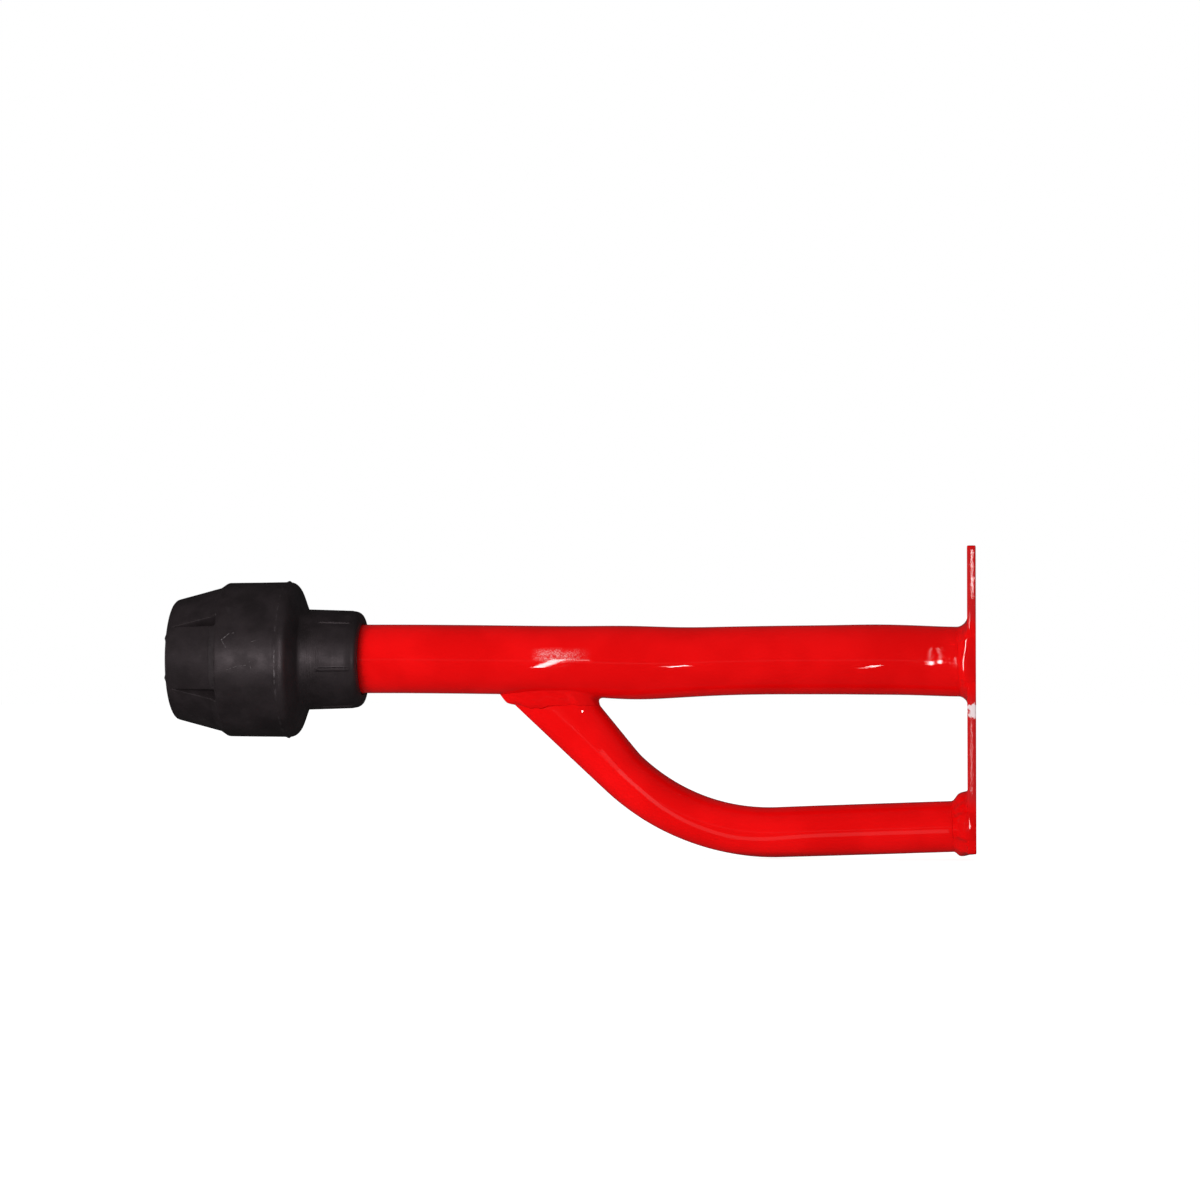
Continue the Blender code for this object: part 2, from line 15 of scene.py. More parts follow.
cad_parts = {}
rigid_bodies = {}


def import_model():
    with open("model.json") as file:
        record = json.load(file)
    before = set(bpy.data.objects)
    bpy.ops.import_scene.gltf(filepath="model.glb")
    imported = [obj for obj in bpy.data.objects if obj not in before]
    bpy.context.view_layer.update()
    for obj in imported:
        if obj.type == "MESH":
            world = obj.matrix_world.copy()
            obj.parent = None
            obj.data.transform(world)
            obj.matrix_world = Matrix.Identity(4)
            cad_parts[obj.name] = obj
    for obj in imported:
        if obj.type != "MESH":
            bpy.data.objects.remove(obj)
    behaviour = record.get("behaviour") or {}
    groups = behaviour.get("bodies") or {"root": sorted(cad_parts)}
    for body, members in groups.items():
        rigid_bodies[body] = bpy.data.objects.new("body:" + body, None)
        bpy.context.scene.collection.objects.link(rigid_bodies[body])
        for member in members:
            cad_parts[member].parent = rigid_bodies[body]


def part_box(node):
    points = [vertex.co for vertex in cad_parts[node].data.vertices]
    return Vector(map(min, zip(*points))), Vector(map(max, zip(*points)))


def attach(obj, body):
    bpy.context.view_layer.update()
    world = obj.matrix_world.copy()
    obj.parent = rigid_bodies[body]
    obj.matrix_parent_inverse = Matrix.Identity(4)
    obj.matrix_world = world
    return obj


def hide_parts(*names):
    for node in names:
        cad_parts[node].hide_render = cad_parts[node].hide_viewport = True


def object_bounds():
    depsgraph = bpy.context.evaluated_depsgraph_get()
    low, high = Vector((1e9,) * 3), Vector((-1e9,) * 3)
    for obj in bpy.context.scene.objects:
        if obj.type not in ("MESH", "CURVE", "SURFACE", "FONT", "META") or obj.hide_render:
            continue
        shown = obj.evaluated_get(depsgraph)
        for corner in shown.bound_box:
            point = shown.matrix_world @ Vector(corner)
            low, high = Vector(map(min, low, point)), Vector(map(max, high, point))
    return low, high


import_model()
cad_low, cad_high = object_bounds()

MM = 0.001
TAU = math.tau
QUARTER = math.pi / 2

# ---- sizes taken from the frame


def extent(node):
    """Lowest and highest corner of a CAD node, in millimetres."""
    low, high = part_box(node)
    return np.array(low) / MM, np.array(high) / MM


plate_low, plate_high = extent("mounting_plate")
tube_low, tube_high = extent("main_tube")
nut_low, nut_high = extent("tube_end_nut")
bumper_low, bumper_high = extent("rubber_bumper")
flat_low, flat_high = extent("flat_washer")
spring_low, spring_high = extent("spring_washer")
bolt_low, bolt_high = extent("bumper_bolt")

PLATE_BACK = plate_low[0]
PLATE_HALF_WIDTH = plate_high[1]
MAIN_RADIUS = tube_high[1]
MAIN_END = tube_low[0]

# ---- driving sizes, millimetres

MAIN_WALL = 2.0
PLATE_HOLE_RADIUS = 4.5
PLATE_HOLE_HEIGHTS = (27.0, -30.0)
PLATE_CORNER_RADIUS = 2.0

BRACE_RADIUS = 8.75
BRACE_WALL = 1.5
BRACE_FOOT_HEIGHT = -57.05
BRACE_FOOT_SLOPE = math.radians(2.1)
BRACE_CORNER_X = -98.2
BRACE_BEND_RADIUS = 74.6
BRACE_LEG_ANGLE = math.radians(42.2)
BRACE_FLARE = 0.066
BRACE_DRIFT = 0.082
BRACE_MOST_SPREAD = 1.38
BRACE_EASE = 2.0
BRACE_LEG_REACH = 62.0

NOSE = bumper_low[0]
MOUTH = bumper_high[0]
BORE_RADIUS = MAIN_RADIUS + 0.3
WEB_BACK = -255.3
WEB_FRONT = -263.0
RECESS_RADIUS = 13.0
BUMPER_SAG = 0.3
BOLT_HOLE_RADIUS = 5.5

THREAD_PITCH = 1.5
HEX_HALF = 8.5


# ---- shaping helpers


def smooth(value, low, high):
    """0 below low, 1 above high, and an S curve between them."""
    share = np.clip((value - low) / (high - low), 0.0, 1.0)
    return share * share * (3 - 2 * share)


def hump(value, centre, width):
    """A bell of height 1."""
    return np.exp(-(((value - centre) / width) ** 2))


def humps(value, rows):
    """The sum of bells given as (height, centre, width)."""
    return sum(height * hump(value, centre, width) for height, centre, width in rows)


def round_angles(count):
    """This many equal steps round a circle."""
    return TAU * np.arange(count) / count


def polar(x, radius, angle):
    """Grid points at these places along X, radii and angles from +Z towards +Y."""
    x = x + 0 * radius * angle
    return np.stack((x, radius * np.sin(angle), radius * np.cos(angle)), axis=-1)


def radial(points, centre_height):
    """Unit vectors away from a line along X at this height."""
    away = points.copy()
    away[..., 0] = 0.0
    away[..., 2] -= centre_height
    return away / np.linalg.norm(away, axis=-1, keepdims=True)


def soft_min(a, b, blend):
    """The smaller of two values, with the crease between them rounded."""
    share = np.clip(0.5 + 0.5 * (b - a) / blend, 0.0, 1.0)
    return b * (1 - share) + a * share - blend * share * (1 - share)


def grain(points, size, seed):
    """Smooth noise from -1 to 1 over an array of points in millimetres, with features this size."""
    flat = points.reshape(-1, 3) / size
    shift = Vector((17.3 * seed, -9.1 * seed, 4.7 * seed))
    values = [noise.noise(Vector(point) + shift) for point in flat]
    return np.array(values).reshape(points.shape[:-1])


def grid_faces(rows, columns, close_rows):
    """Quads over a grid whose columns run round a closed ring, as index rows."""
    count = rows if close_rows else rows - 1
    row, column = np.meshgrid(np.arange(count), np.arange(columns), indexing="ij")
    down, right = (row + 1) % rows, (column + 1) % columns
    corners = ((row, column), (row, right), (down, right), (down, column))
    return np.stack([r * columns + c for r, c in corners], axis=-1).reshape(-1, 4).tolist()


def new_object(name, data):
    """An object in the scene with this data."""
    obj = bpy.data.objects.new(name, data)
    bpy.context.scene.collection.objects.link(obj)
    return obj


def shade(mesh, sharp_angle):
    """Smooth shading over a mesh, but for its real edges."""
    mesh.shade_smooth()
    mesh.set_sharp_from_angle(angle=math.radians(sharp_angle))


def add_mesh(name, vertices, faces, sharp_angle):
    """A mesh object from points in millimetres, normals out."""
    bm = bmesh.new()
    made = [bm.verts.new(Vector(point) * MM) for point in vertices]
    for face in faces:
        bm.faces.new([made[i] for i in face])
    bmesh.ops.recalc_face_normals(bm, faces=bm.faces)
    if bm.calc_volume(signed=True) < 0:
        bmesh.ops.reverse_faces(bm, faces=bm.faces)
    mesh = bpy.data.meshes.new(name)
    bm.to_mesh(mesh)
    bm.free()
    shade(mesh, sharp_angle)
    return new_object(name, mesh)


def ring_solid(name, points, sharp_angle=40):
    """A solid from a grid that closes both ways: sections round a ring."""
    rows, columns = points.shape[:2]
    faces = grid_faces(rows, columns, True)
    return add_mesh(name, points.reshape(-1, 3).tolist(), faces, sharp_angle)


def spindle_solid(name, points, sharp_angle):
    """A solid from a grid of rings, closed at both ends with a fan to a middle point."""
    rows, columns = points.shape[:2]
    vertices = points.reshape(-1, 3).tolist()
    faces = grid_faces(rows, columns, False)
    for row in (0, rows - 1):
        vertices.append(points[row].mean(axis=0).tolist())
        hub = len(vertices) - 1
        start = row * columns
        for column in range(columns):
            faces.append([start + column, start + (column + 1) % columns, hub])
    return add_mesh(name, vertices, faces, sharp_angle)


# ---- main tube

# Welding has pulled the tube slightly out of true. Each row is (height, middle, width).
MAIN_LIFT = 0.5
MAIN_LIFT_SPAN = (-205.0, -140.0)
MAIN_BOW = ((-0.95, -112.0, 26.0), (0.1, -38.0, 14.0), (-0.65, -5.0, 14.0))
MAIN_SWELL = ((0.75, -119.0, 17.0),)
MAIN_THICKNESS = ((-0.15, -75.0, 25.0), (0.12, -33.0, 12.0))
PAINT_LUMPS = 0.02


def main_centre(x):
    """Height of the main tube's centre line."""
    return MAIN_LIFT * (1 - smooth(x, *MAIN_LIFT_SPAN)) + humps(x, MAIN_BOW)


def main_reach(x, angle):
    """Outer radius at a place and an angle from straight down. It swells under the brace's crotch."""
    swell = humps(x, MAIN_SWELL) * (0.35 + 0.65 * np.cos(angle) ** 2)
    return MAIN_RADIUS + swell + humps(x, MAIN_THICKNESS)


def main_point(x, angle, grow=0.0):
    """A point on the main tube's outside."""
    reach = main_reach(x, angle) + grow
    height = main_centre(x) - reach * np.cos(angle)
    return np.stack((x + 0 * reach, reach * np.sin(angle), height), axis=-1)


def main_tube_piece():
    """The tube with both its skins, from just inside the plate to its end in the bumper."""
    angle = round_angles(128)[None, :]
    x = np.linspace(PLATE_BACK + 0.5, MAIN_END, 240)[:, None]
    outer = main_point(x, angle)
    outer += PAINT_LUMPS * grain(outer, 14.0, 1)[..., None] * radial(outer, main_centre(x))
    inner = main_point(x[::-4], angle, -MAIN_WALL)
    return ring_solid("painted_main_tube", np.concatenate((outer, inner)))


# ---- brace


def unit(angle):
    """The direction in the arm's plane at this angle from +X towards +Z."""
    return np.array((math.cos(angle), 0.0, math.sin(angle)))


def across(direction):
    """A direction in the arm's plane, turned a quarter round."""
    return np.array((-direction[2], 0.0, direction[0]))


class BracePath:
    """The brace's centre line: foot, bend and leg, measured in millimetres from the foot."""

    def __init__(self):
        self.foot_direction = unit(math.pi + BRACE_FOOT_SLOPE)
        self.leg_direction = unit(math.pi - BRACE_LEG_ANGLE)
        self.foot = np.array((PLATE_BACK, 0.0, BRACE_FOOT_HEIGHT))
        share = (BRACE_CORNER_X - self.foot[0]) / self.foot_direction[0]
        corner = self.foot + self.foot_direction * share
        self.bend_angle = BRACE_LEG_ANGLE + BRACE_FOOT_SLOPE
        tangent = BRACE_BEND_RADIUS * math.tan(self.bend_angle / 2)
        self.foot_length = share - tangent
        bend_start = corner - self.foot_direction * tangent
        self.bend_centre = bend_start - across(self.foot_direction) * BRACE_BEND_RADIUS
        self.bend_length = BRACE_BEND_RADIUS * self.bend_angle
        self.leg_start = corner + self.leg_direction * tangent
        self.straight_start = self.foot_length + self.bend_length

    def place(self, distance):
        """(centre, direction) at a distance along the line."""
        if distance <= self.foot_length:
            return self.foot + self.foot_direction * distance, self.foot_direction
        if distance >= self.straight_start:
            along = distance - self.straight_start
            return self.leg_start + self.leg_direction * along, self.leg_direction
        turned = (distance - self.foot_length) / BRACE_BEND_RADIUS
        direction = unit(math.pi + BRACE_FOOT_SLOPE - turned)
        return self.bend_centre + across(direction) * BRACE_BEND_RADIUS, direction

    def section(self, distance):
        """The section's middle, its half width in the arm's plane and its half depth across it."""
        centre, direction = self.place(distance)
        along_leg = max(0.0, distance - self.straight_start)
        spread = along_leg - BRACE_EASE * (1 - math.exp(-along_leg / BRACE_EASE))
        middle = self.foot_length + self.bend_length / 2
        pinch = 0.3 * float(hump(distance, middle, self.bend_length / 2))
        width = min(BRACE_RADIUS + BRACE_FLARE * spread, BRACE_MOST_SPREAD * BRACE_RADIUS)
        depth = math.sqrt(2 * BRACE_RADIUS**2 - width**2)
        return centre - across(direction) * BRACE_DRIFT * spread, direction, width - pinch, depth

    def surface(self, distance, angle, grow=0.0):
        """A point on the brace's outside, at an angle from its upper side towards +Y."""
        middle, direction, width, depth = self.section(distance)
        point = middle - across(direction) * (width + grow) * math.cos(angle)
        point[1] = (depth + grow) * math.sin(angle)
        return point


path = BracePath()


def saddle_distance(angle):
    """How far along the brace its outside meets the main tube's outside."""
    near, far = path.straight_start, path.straight_start + BRACE_LEG_REACH
    for _ in range(28):
        middle = (near + far) / 2
        point = path.surface(middle, angle)
        height = point[2] - float(main_centre(point[0]))
        round_angle = math.atan2(point[1], -height)
        if math.hypot(point[1], height) > float(main_reach(point[0], round_angle)):
            near = middle
        else:
            far = middle
    return near


def brace_piece():
    """The brace with both its skins, from inside the plate's weld to inside the main wall."""
    start, sink = -0.5, 0.6
    columns = [(angle, saddle_distance(angle) + sink) for angle in round_angles(112)]

    def skin(shares, grow=0.0):
        rows = []
        for share in shares:
            rows.append([path.surface(start + (end - start) * share, a, grow) for a, end in columns])
        return np.array(rows)

    shares = np.linspace(0.0, 1.0, 200)
    outer, inner = skin(shares), skin(shares[::-4], -BRACE_WALL)
    outer += PAINT_LUMPS * grain(outer, 12.0, 2)[..., None]
    return ring_solid("painted_brace_tube", np.concatenate((outer, inner)))


# ---- welds

TOE_DEPTH = 0.03
EDGE_MARGIN = 0.08


def bead_sections(first_toes, roots, last_toes, outs, bulges, lean=1.0, ease=1.4):
    """A grid of weld sections. Each leaves one surface along it, swells and lands along the other.

    outs are the directions in which the bead swells, by bulges. A lean above 1 moves its fattest
    part towards the last toe. An ease above 1 melts both toes into the surfaces beside them.
    """
    share = np.linspace(0.0, 1.0, 26)[:, None, None]
    start, middle, end = (1 - share) ** 2, 2 * share * (1 - share), share**2
    fillet = first_toes * start + roots * middle + last_toes * end
    swell = np.sin(math.pi * share**lean) ** ease
    return fillet + outs[None] * swell * bulges[None, :, None]


def weld_ring(name, sections, roots, sink):
    """Closes a grid of bead sections through a buried root line."""
    buried = (roots + sink)[None, ...]
    return ring_solid(name, np.concatenate((sections, buried)), 180)


def ripple(angle, count, seed):
    """Uneven lumps along a bead, from -1 to 1: a row of ripples whose size wanders."""
    drift = noise.noise(Vector((2 * math.cos(angle), 2 * math.sin(angle), 3.1 * seed)))
    wave = math.sin(count * angle + 2.5 * drift + seed)
    return 0.6 * wave + 0.9 * drift


def spill(toe, root, lowest):
    """A toe that lies past the plate's edges, folded round them, and its fillet's corner."""
    side = max(0.0, abs(toe[1]) - (PLATE_HALF_WIDTH - EDGE_MARGIN))
    under = max(0.0, lowest - toe[2])
    fold = TOE_DEPTH + min(2.6, 1.7 * side) + min(2.2, 1.1 * under)
    folded = toe + np.array((fold, -math.copysign(side, toe[1]), under))
    corner = root.copy()
    short = max(0.0, PLATE_HALF_WIDTH + 0.5 - abs(root[1]))
    corner[1] += math.copysign(short * float(smooth(side, 0.0, 1.2)), root[1])
    return folded, corner


def plate_bead(name, height, radius, slope, lengths, lowest, seed):
    """A bead between a tube and the plate's inner face, spilling over the plate's edges.

    lengths gives its leg along the tube, its leg across the plate and its bulge, at an angle
    from straight down, towards +Y. Below the lowest height it spills under the plate.
    """
    centre = np.array((PLATE_BACK, 0.0, height))
    stations = []
    for angle in round_angles(220):
        away = np.array((0.0, math.sin(angle), -math.cos(angle)))
        wander = ripple(angle, 9, seed)
        tube_leg, plate_leg, bulge = lengths(angle)
        leg = tube_leg * (1 + 0.035 * wander)
        root = centre + away * (radius - TOE_DEPTH)
        tube_toe = root + np.array((-leg, 0.0, -slope * leg))
        toe = centre + away * (radius + plate_leg * (1 + 0.05 * wander))
        plate_toe, corner = spill(toe, root, lowest)
        out = (away + np.array((-1.0, 0.0, 0.0))) / math.sqrt(2)
        stations.append((tube_toe, corner, plate_toe, out, bulge * (1 + 0.13 * wander), root))
    *toes_and_outs, roots = map(np.array, zip(*stations))
    sections = bead_sections(*toes_and_outs)
    sections += 0.05 * grain(sections, 3.0, seed + 5)[..., None]
    sink = np.array((0.6, 0.0, 0.0)) - 0.5 * radial(roots, height)
    return weld_ring(name, sections, roots, sink)


def main_weld_piece():
    """The bead between the main tube and the plate."""

    def lengths(angle):
        down, side = math.cos(angle), math.sin(angle) ** 2
        return 3.2 - 0.4 * down, 3.0 - 0.3 * down + 0.8 * side, 0.3 + 0.75 * side

    height = float(main_centre(PLATE_BACK))
    name = "weld_bead_main_to_plate"
    return plate_bead(name, height, MAIN_RADIUS, 0.0, lengths, plate_low[2], 3)


def foot_weld_piece():
    """The bead and collar round the brace's foot."""

    def lengths(angle):
        down, side = math.cos(angle), math.sin(angle) ** 2
        return 5.2 - 0.5 * down, 3.7 + 2.2 * side, 2.05 - 0.2 * down - 1.1 * side**2

    slope, lowest = math.tan(BRACE_FOOT_SLOPE), plate_low[2] - 0.2
    name = "weld_bead_brace_to_plate"
    return plate_bead(name, BRACE_FOOT_HEIGHT, BRACE_RADIUS, slope, lengths, lowest, 8)


def main_toe_from(root, outward, leg):
    """Where a bead's toe lands on the main tube, this far from its root towards outward."""
    round_angle = math.atan2(root[1], float(main_centre(root[0])) - root[2])
    sideways = outward[1] * math.cos(round_angle) + outward[2] * math.sin(round_angle)
    scale = leg / math.hypot(outward[0], sideways)
    toe_x = root[0] + outward[0] * scale
    toe_angle = round_angle + sideways * scale / MAIN_RADIUS
    return main_point(np.array(toe_x), np.array(toe_angle), -TOE_DEPTH)


def saddle_station(angle):
    """(main toe, root, brace toe, swelling direction, bulge) of the saddle weld at an angle."""
    crotch = 0.5 + 0.5 * math.cos(angle)
    side = math.sin(angle) ** 2
    wander = ripple(angle, 13, 21)
    knee = float(hump(abs(math.pi - angle), 0.85, 0.4))
    main_leg = (1.5 + 2.2 * crotch**4 - 0.5 * side) * (1 + 0.1 * wander)
    brace_leg = (5.0 - 0.9 * crotch + 2.0 * side + 1.7 * knee) * (1 + 0.06 * wander)
    bulge = (0.45 + 0.75 * (1 - crotch) ** 0.5 + 0.3 * knee) * (1 + 0.2 * wander)
    distance = saddle_distance(angle)
    root = path.surface(distance, angle)
    main_toe = main_toe_from(root, path.surface(distance, angle, 1.0) - root, main_leg)
    brace_toe = path.surface(distance - brace_leg, angle, -TOE_DEPTH)
    out = (main_toe - root) / main_leg + (brace_toe - root) / brace_leg
    return main_toe, root, brace_toe, out / np.linalg.norm(out), bulge


def saddle_weld_piece():
    """The bead round the squashed end: fat at the heel and on the sides, a fillet in the crotch."""
    stations = [saddle_station(angle) for angle in round_angles(260)]
    main_toes, roots, brace_toes, outs, bulges = map(np.array, zip(*stations))
    sections = bead_sections(main_toes, roots, brace_toes, outs, bulges, 1.6, 1.0)
    sections += 0.08 * grain(sections, 2.2, 31)[..., None]
    return weld_ring("weld_bead_brace_to_main", sections, roots, path.leg_direction * 0.8)


def nut_weld_piece():
    """The ring that joins the nut's face to the tube's end, rippled and half round."""
    low, high = extent("weld_nut_to_tube")
    inner, outer, foot = 8.4, 11.6, high[0] + 0.3
    angle = round_angles(160)
    lump = 0.08 * np.array([ripple(a, 15, 44) for a in angle])
    sections = []
    for turn in np.linspace(0.0, math.pi, 14):
        radius = (inner + outer) / 2 + (outer - inner) / 2 * math.cos(turn) + lump
        x = foot - (foot - low[0]) * math.sin(turn) * (0.9 + lump)
        sections.append(polar(x, radius, angle))
    return ring_solid("nut_weld_bead", np.array(sections), 60)


# ---- plate

ARRIS_ROUNDING = 0.45
PAINT_INSET = 0.005


def rounded_outline(half_width, low, high, radius, step):
    """Points round a rounded rectangle, closely spaced so that its sheared edge can wander."""
    right, top, bottom = half_width - radius, high - radius, low + radius
    arcs = []
    for i, (y, z) in enumerate(((right, top), (-right, top), (-right, bottom), (right, bottom))):
        turns = [QUARTER * i + QUARTER * k / 8 for k in range(9)]
        arcs.append([(y + radius * math.cos(t), z + radius * math.sin(t)) for t in turns])
    points = []
    for arc, after in zip(arcs, arcs[1:] + arcs[:1]):
        first, last = np.array(arc[-1]), np.array(after[0])
        count = int(math.dist(first, last) / step)
        points += arc + [first + (last - first) * (k / count) for k in range(1, count)]
    return points


def plate_loops():
    """The bar's outline, wavy from the shears, and its two holes, as loops of (y, z)."""
    size = (PLATE_HALF_WIDTH, plate_low[2], plate_high[2], PLATE_CORNER_RADIUS)
    wavy = []
    for y, z in rounded_outline(*size, 0.8):
        wander = noise.noise(Vector((y / 5.0, z / 5.0, 0.3))) * 0.03
        wavy.append((y * (1 - (0.03 - wander) / PLATE_HALF_WIDTH), z))
    circle = [(math.cos(turn), math.sin(turn)) for turn in round_angles(72)]
    r = PLATE_HOLE_RADIUS
    return [wavy] + [[(r * y, height + r * z) for y, z in circle] for height in PLATE_HOLE_HEIGHTS]


def plate_curve():
    """The bar as a flat filled curve, thickened, with rounded arrises."""
    half_thickness = (plate_high[0] - PLATE_BACK) / 2
    curve = bpy.data.curves.new("plate_bar", "CURVE")
    curve.dimensions = "2D"
    curve.fill_mode = "BOTH"
    curve.extrude = (half_thickness - ARRIS_ROUNDING - PAINT_INSET) * MM
    curve.bevel_depth = ARRIS_ROUNDING * MM
    curve.bevel_resolution = 3
    curve.offset = -ARRIS_ROUNDING * MM
    for loop in plate_loops():
        spline = curve.splines.new("POLY")
        spline.points.add(len(loop) - 1)
        for point, (y, z) in zip(spline.points, loop):
            point.co = (y * MM, z * MM, 0.0, 1.0)
        spline.use_cyclic_u = True
    return curve


def plate_piece():
    """Sheared flat bar under thick paint: rounded arrises, wandering edges, two soft-edged holes."""
    guide = new_object("plate_guide", plate_curve())
    guide.rotation_euler = (QUARTER, 0.0, QUARTER)
    guide.location.x = (PLATE_BACK + plate_high[0]) / 2 * MM
    bpy.context.view_layer.update()
    graph = bpy.context.evaluated_depsgraph_get()
    mesh = bpy.data.meshes.new_from_object(guide.evaluated_get(graph))
    mesh.transform(guide.matrix_world)
    bpy.data.objects.remove(guide)
    bm = bmesh.new()
    bm.from_mesh(mesh)
    bmesh.ops.remove_doubles(bm, verts=bm.verts, dist=0.001 * MM)
    bmesh.ops.recalc_face_normals(bm, faces=bm.faces)
    bm.to_mesh(mesh)
    bm.free()
    shade(mesh, 50)
    return new_object("painted_mounting_plate", mesh)


# ---- bumper

NOSE_EDGE = NOSE + 0.4
CONE_START = (NOSE + 1.6, 21.2)
CONE_END = (-263.1, 25.25)
DRUM_START = (-260.6, 26.95)
FLASH = -239.7
RIM = (-237.1, 27.2)
BACK_END = (-233.6, 18.4)
NECK_START = (-232.8, 17.6)
NECK_RADIUS = 17.1
FLUTE_COUNT = 6
FLUTE_FIRST = math.radians(31.2)
FLUTE_FLOOR = 21.4
FLUTE_WALL = -261.3
FLUTE_SLOPE = 1 / math.tan(math.radians(26))
RIB_COUNT = 6
RIB_FIRST = math.radians(-11.8)
RIB_SPAN = (-226.9, -215.9)
RIB_HEIGHT = 0.4
FLASH_HEIGHT = 0.36
NUB_HEIGHT = 0.5
NOSE_NUB_ANGLES = [FLUTE_FIRST + math.radians(a) for a in (-50, -10, 70, 110, 190, 230)]


def rounded_line(points, step):
    """Walks a list of (x, radius, rounding) corners, with each corner cut by an arc, at this step."""
    walked = []
    for i, (x, r, rounding) in enumerate(points):
        corner = np.array((x, r))
        if rounding == 0:
            walked.append(corner)
            continue
        before, after = (np.array(points[j][:2]) - corner for j in (i - 1, i + 1))
        first = corner + before / np.linalg.norm(before) * rounding
        last = corner + after / np.linalg.norm(after) * rounding
        for t in np.arange(9) / 8:
            walked.append(first * (1 - t) ** 2 + 2 * corner * t * (1 - t) + last * t * t)
    dense = [walked[0]]
    for start, point in zip(walked, walked[1:]):
        count = max(1, int(np.linalg.norm(point - start) / step))
        for k in range(1, count + 1):
            dense.append(start + (point - start) * k / count)
    return np.array(dense)


# Corners as (x, radius, rounding): the outside from the recess's lip to the mouth, then the
# bore, web and recess from the mouth back to the nose.
BUMPER_OUTSIDE = (
    (NOSE_EDGE, RECESS_RADIUS + 0.6, 0),
    (NOSE_EDGE, 20.6, 1.2),
    (*CONE_START, 0.5),
    (*CONE_END, 0.35),
    (*DRUM_START, 0.5),
    (*RIM, 2.4),
    (*BACK_END, 0.5),
    (*NECK_START, 0.5),
    (MOUTH - 3.9, NECK_RADIUS, 0),
    (MOUTH - 1.0, NECK_RADIUS - 0.55, 1.4),
    (MOUTH, NECK_RADIUS - 2.4, 1.2),
    (MOUTH, BORE_RADIUS + 0.5, 0),
)
BUMPER_INSIDE = (
    (MOUTH, BORE_RADIUS + 0.5, 0),
    (MOUTH - 0.5, BORE_RADIUS, 0),
    (WEB_BACK, BORE_RADIUS, 0),
    (WEB_BACK, BOLT_HOLE_RADIUS, 0),
    (WEB_FRONT, BOLT_HOLE_RADIUS, 0),
    (WEB_FRONT, RECESS_RADIUS, 0.5),
    (NOSE_EDGE + 0.6, RECESS_RADIUS, 0),
    (NOSE_EDGE, RECESS_RADIUS + 0.6, 0),
)
FLUTES = [FLUTE_FIRST + TAU * k / FLUTE_COUNT for k in range(FLUTE_COUNT)]
RIBS = [RIB_FIRST + TAU * k / RIB_COUNT for k in range(RIB_COUNT)]


def bumper_columns():
    """Angles round the bumper, crowded together at the flutes and ribs."""
    angles = list(np.arange(0.0, TAU, math.radians(1.6)))
    crowds = [(middle, 5.5, 0.33) for middle in FLUTES] + [(middle, 2.6, 0.3) for middle in RIBS]
    for middle, half, step in crowds:
        angles += list(middle + np.radians(np.arange(-half, half + 0.01, step)))
    angles = sorted({round(angle % TAU, 5) for angle in angles})
    kept = [angles[0]]
    for angle in angles[1:]:
        if angle - kept[-1] > math.radians(0.2):
            kept.append(angle)
    return np.array(kept)


def nearest_offset(angle, middles):
    """Signed angle from the nearest of these middles."""
    gaps = np.stack([(angle - m + math.pi) % TAU - math.pi for m in middles])
    pick = np.abs(gaps).argmin(axis=0)
    return np.take_along_axis(gaps, pick[None], axis=0)[0]


def flute_limit(x, radius, angle):
    """The radius that the flutes leave: a V with its floor along the axis and a square end."""
    lateral = np.abs(radius * np.sin(nearest_offset(angle, FLUTES)))
    groove = FLUTE_FLOOR + lateral * FLUTE_SLOPE
    beyond = smooth(x, FLUTE_WALL - 0.12, FLUTE_WALL + 0.12) * 30
    return soft_min(radius, groove + beyond, 0.25)


def rib_rise(x, radius, angle):
    """Low ribs along the neck with rounded tops and square ends."""
    lateral = np.abs(radius * np.sin(nearest_offset(angle, RIBS)))
    start, end = RIB_SPAN
    ends = smooth(x, start - 0.2, start + 0.3) * (1 - smooth(x, end - 0.3, end + 0.2))
    return RIB_HEIGHT * (1 - smooth(lateral, 0.35, 0.75)) * ends


def flash_rise(x, angle):
    """The mould's parting line round the rim: a thin torn lip, with a nub at the top and bottom."""
    circle = [Vector((9 * math.cos(a), 9 * math.sin(a), 2.0)) for a in angle]
    torn = np.array([0.5 + 0.9 * noise.noise(place) for place in circle])
    nubs = hump(nearest_offset(angle, (QUARTER, -QUARTER)), 0.0, 0.06)
    height = np.clip(torn, 0.12, 1.2) * FLASH_HEIGHT + NUB_HEIGHT * nubs
    return np.outer(hump(x, FLASH, 0.3), height)


def nose_nubs(x, angle):
    """How far the nose's edge stands forward: two moulded nubs on every second sector."""
    nub = hump(nearest_offset(angle, NOSE_NUB_ANGLES), 0.0, math.radians(2.4))
    return (NOSE_EDGE - NOSE) * np.outer(hump(x, NOSE_EDGE, 0.9), nub)


def bumper_rings(x, radius, angle):
    """Rings round the bumper's axis, with their angles from -Y towards +Z."""
    x = x + 0 * radius * angle
    return np.stack((x, -radius * np.cos(angle), radius * np.sin(angle)), axis=-1)


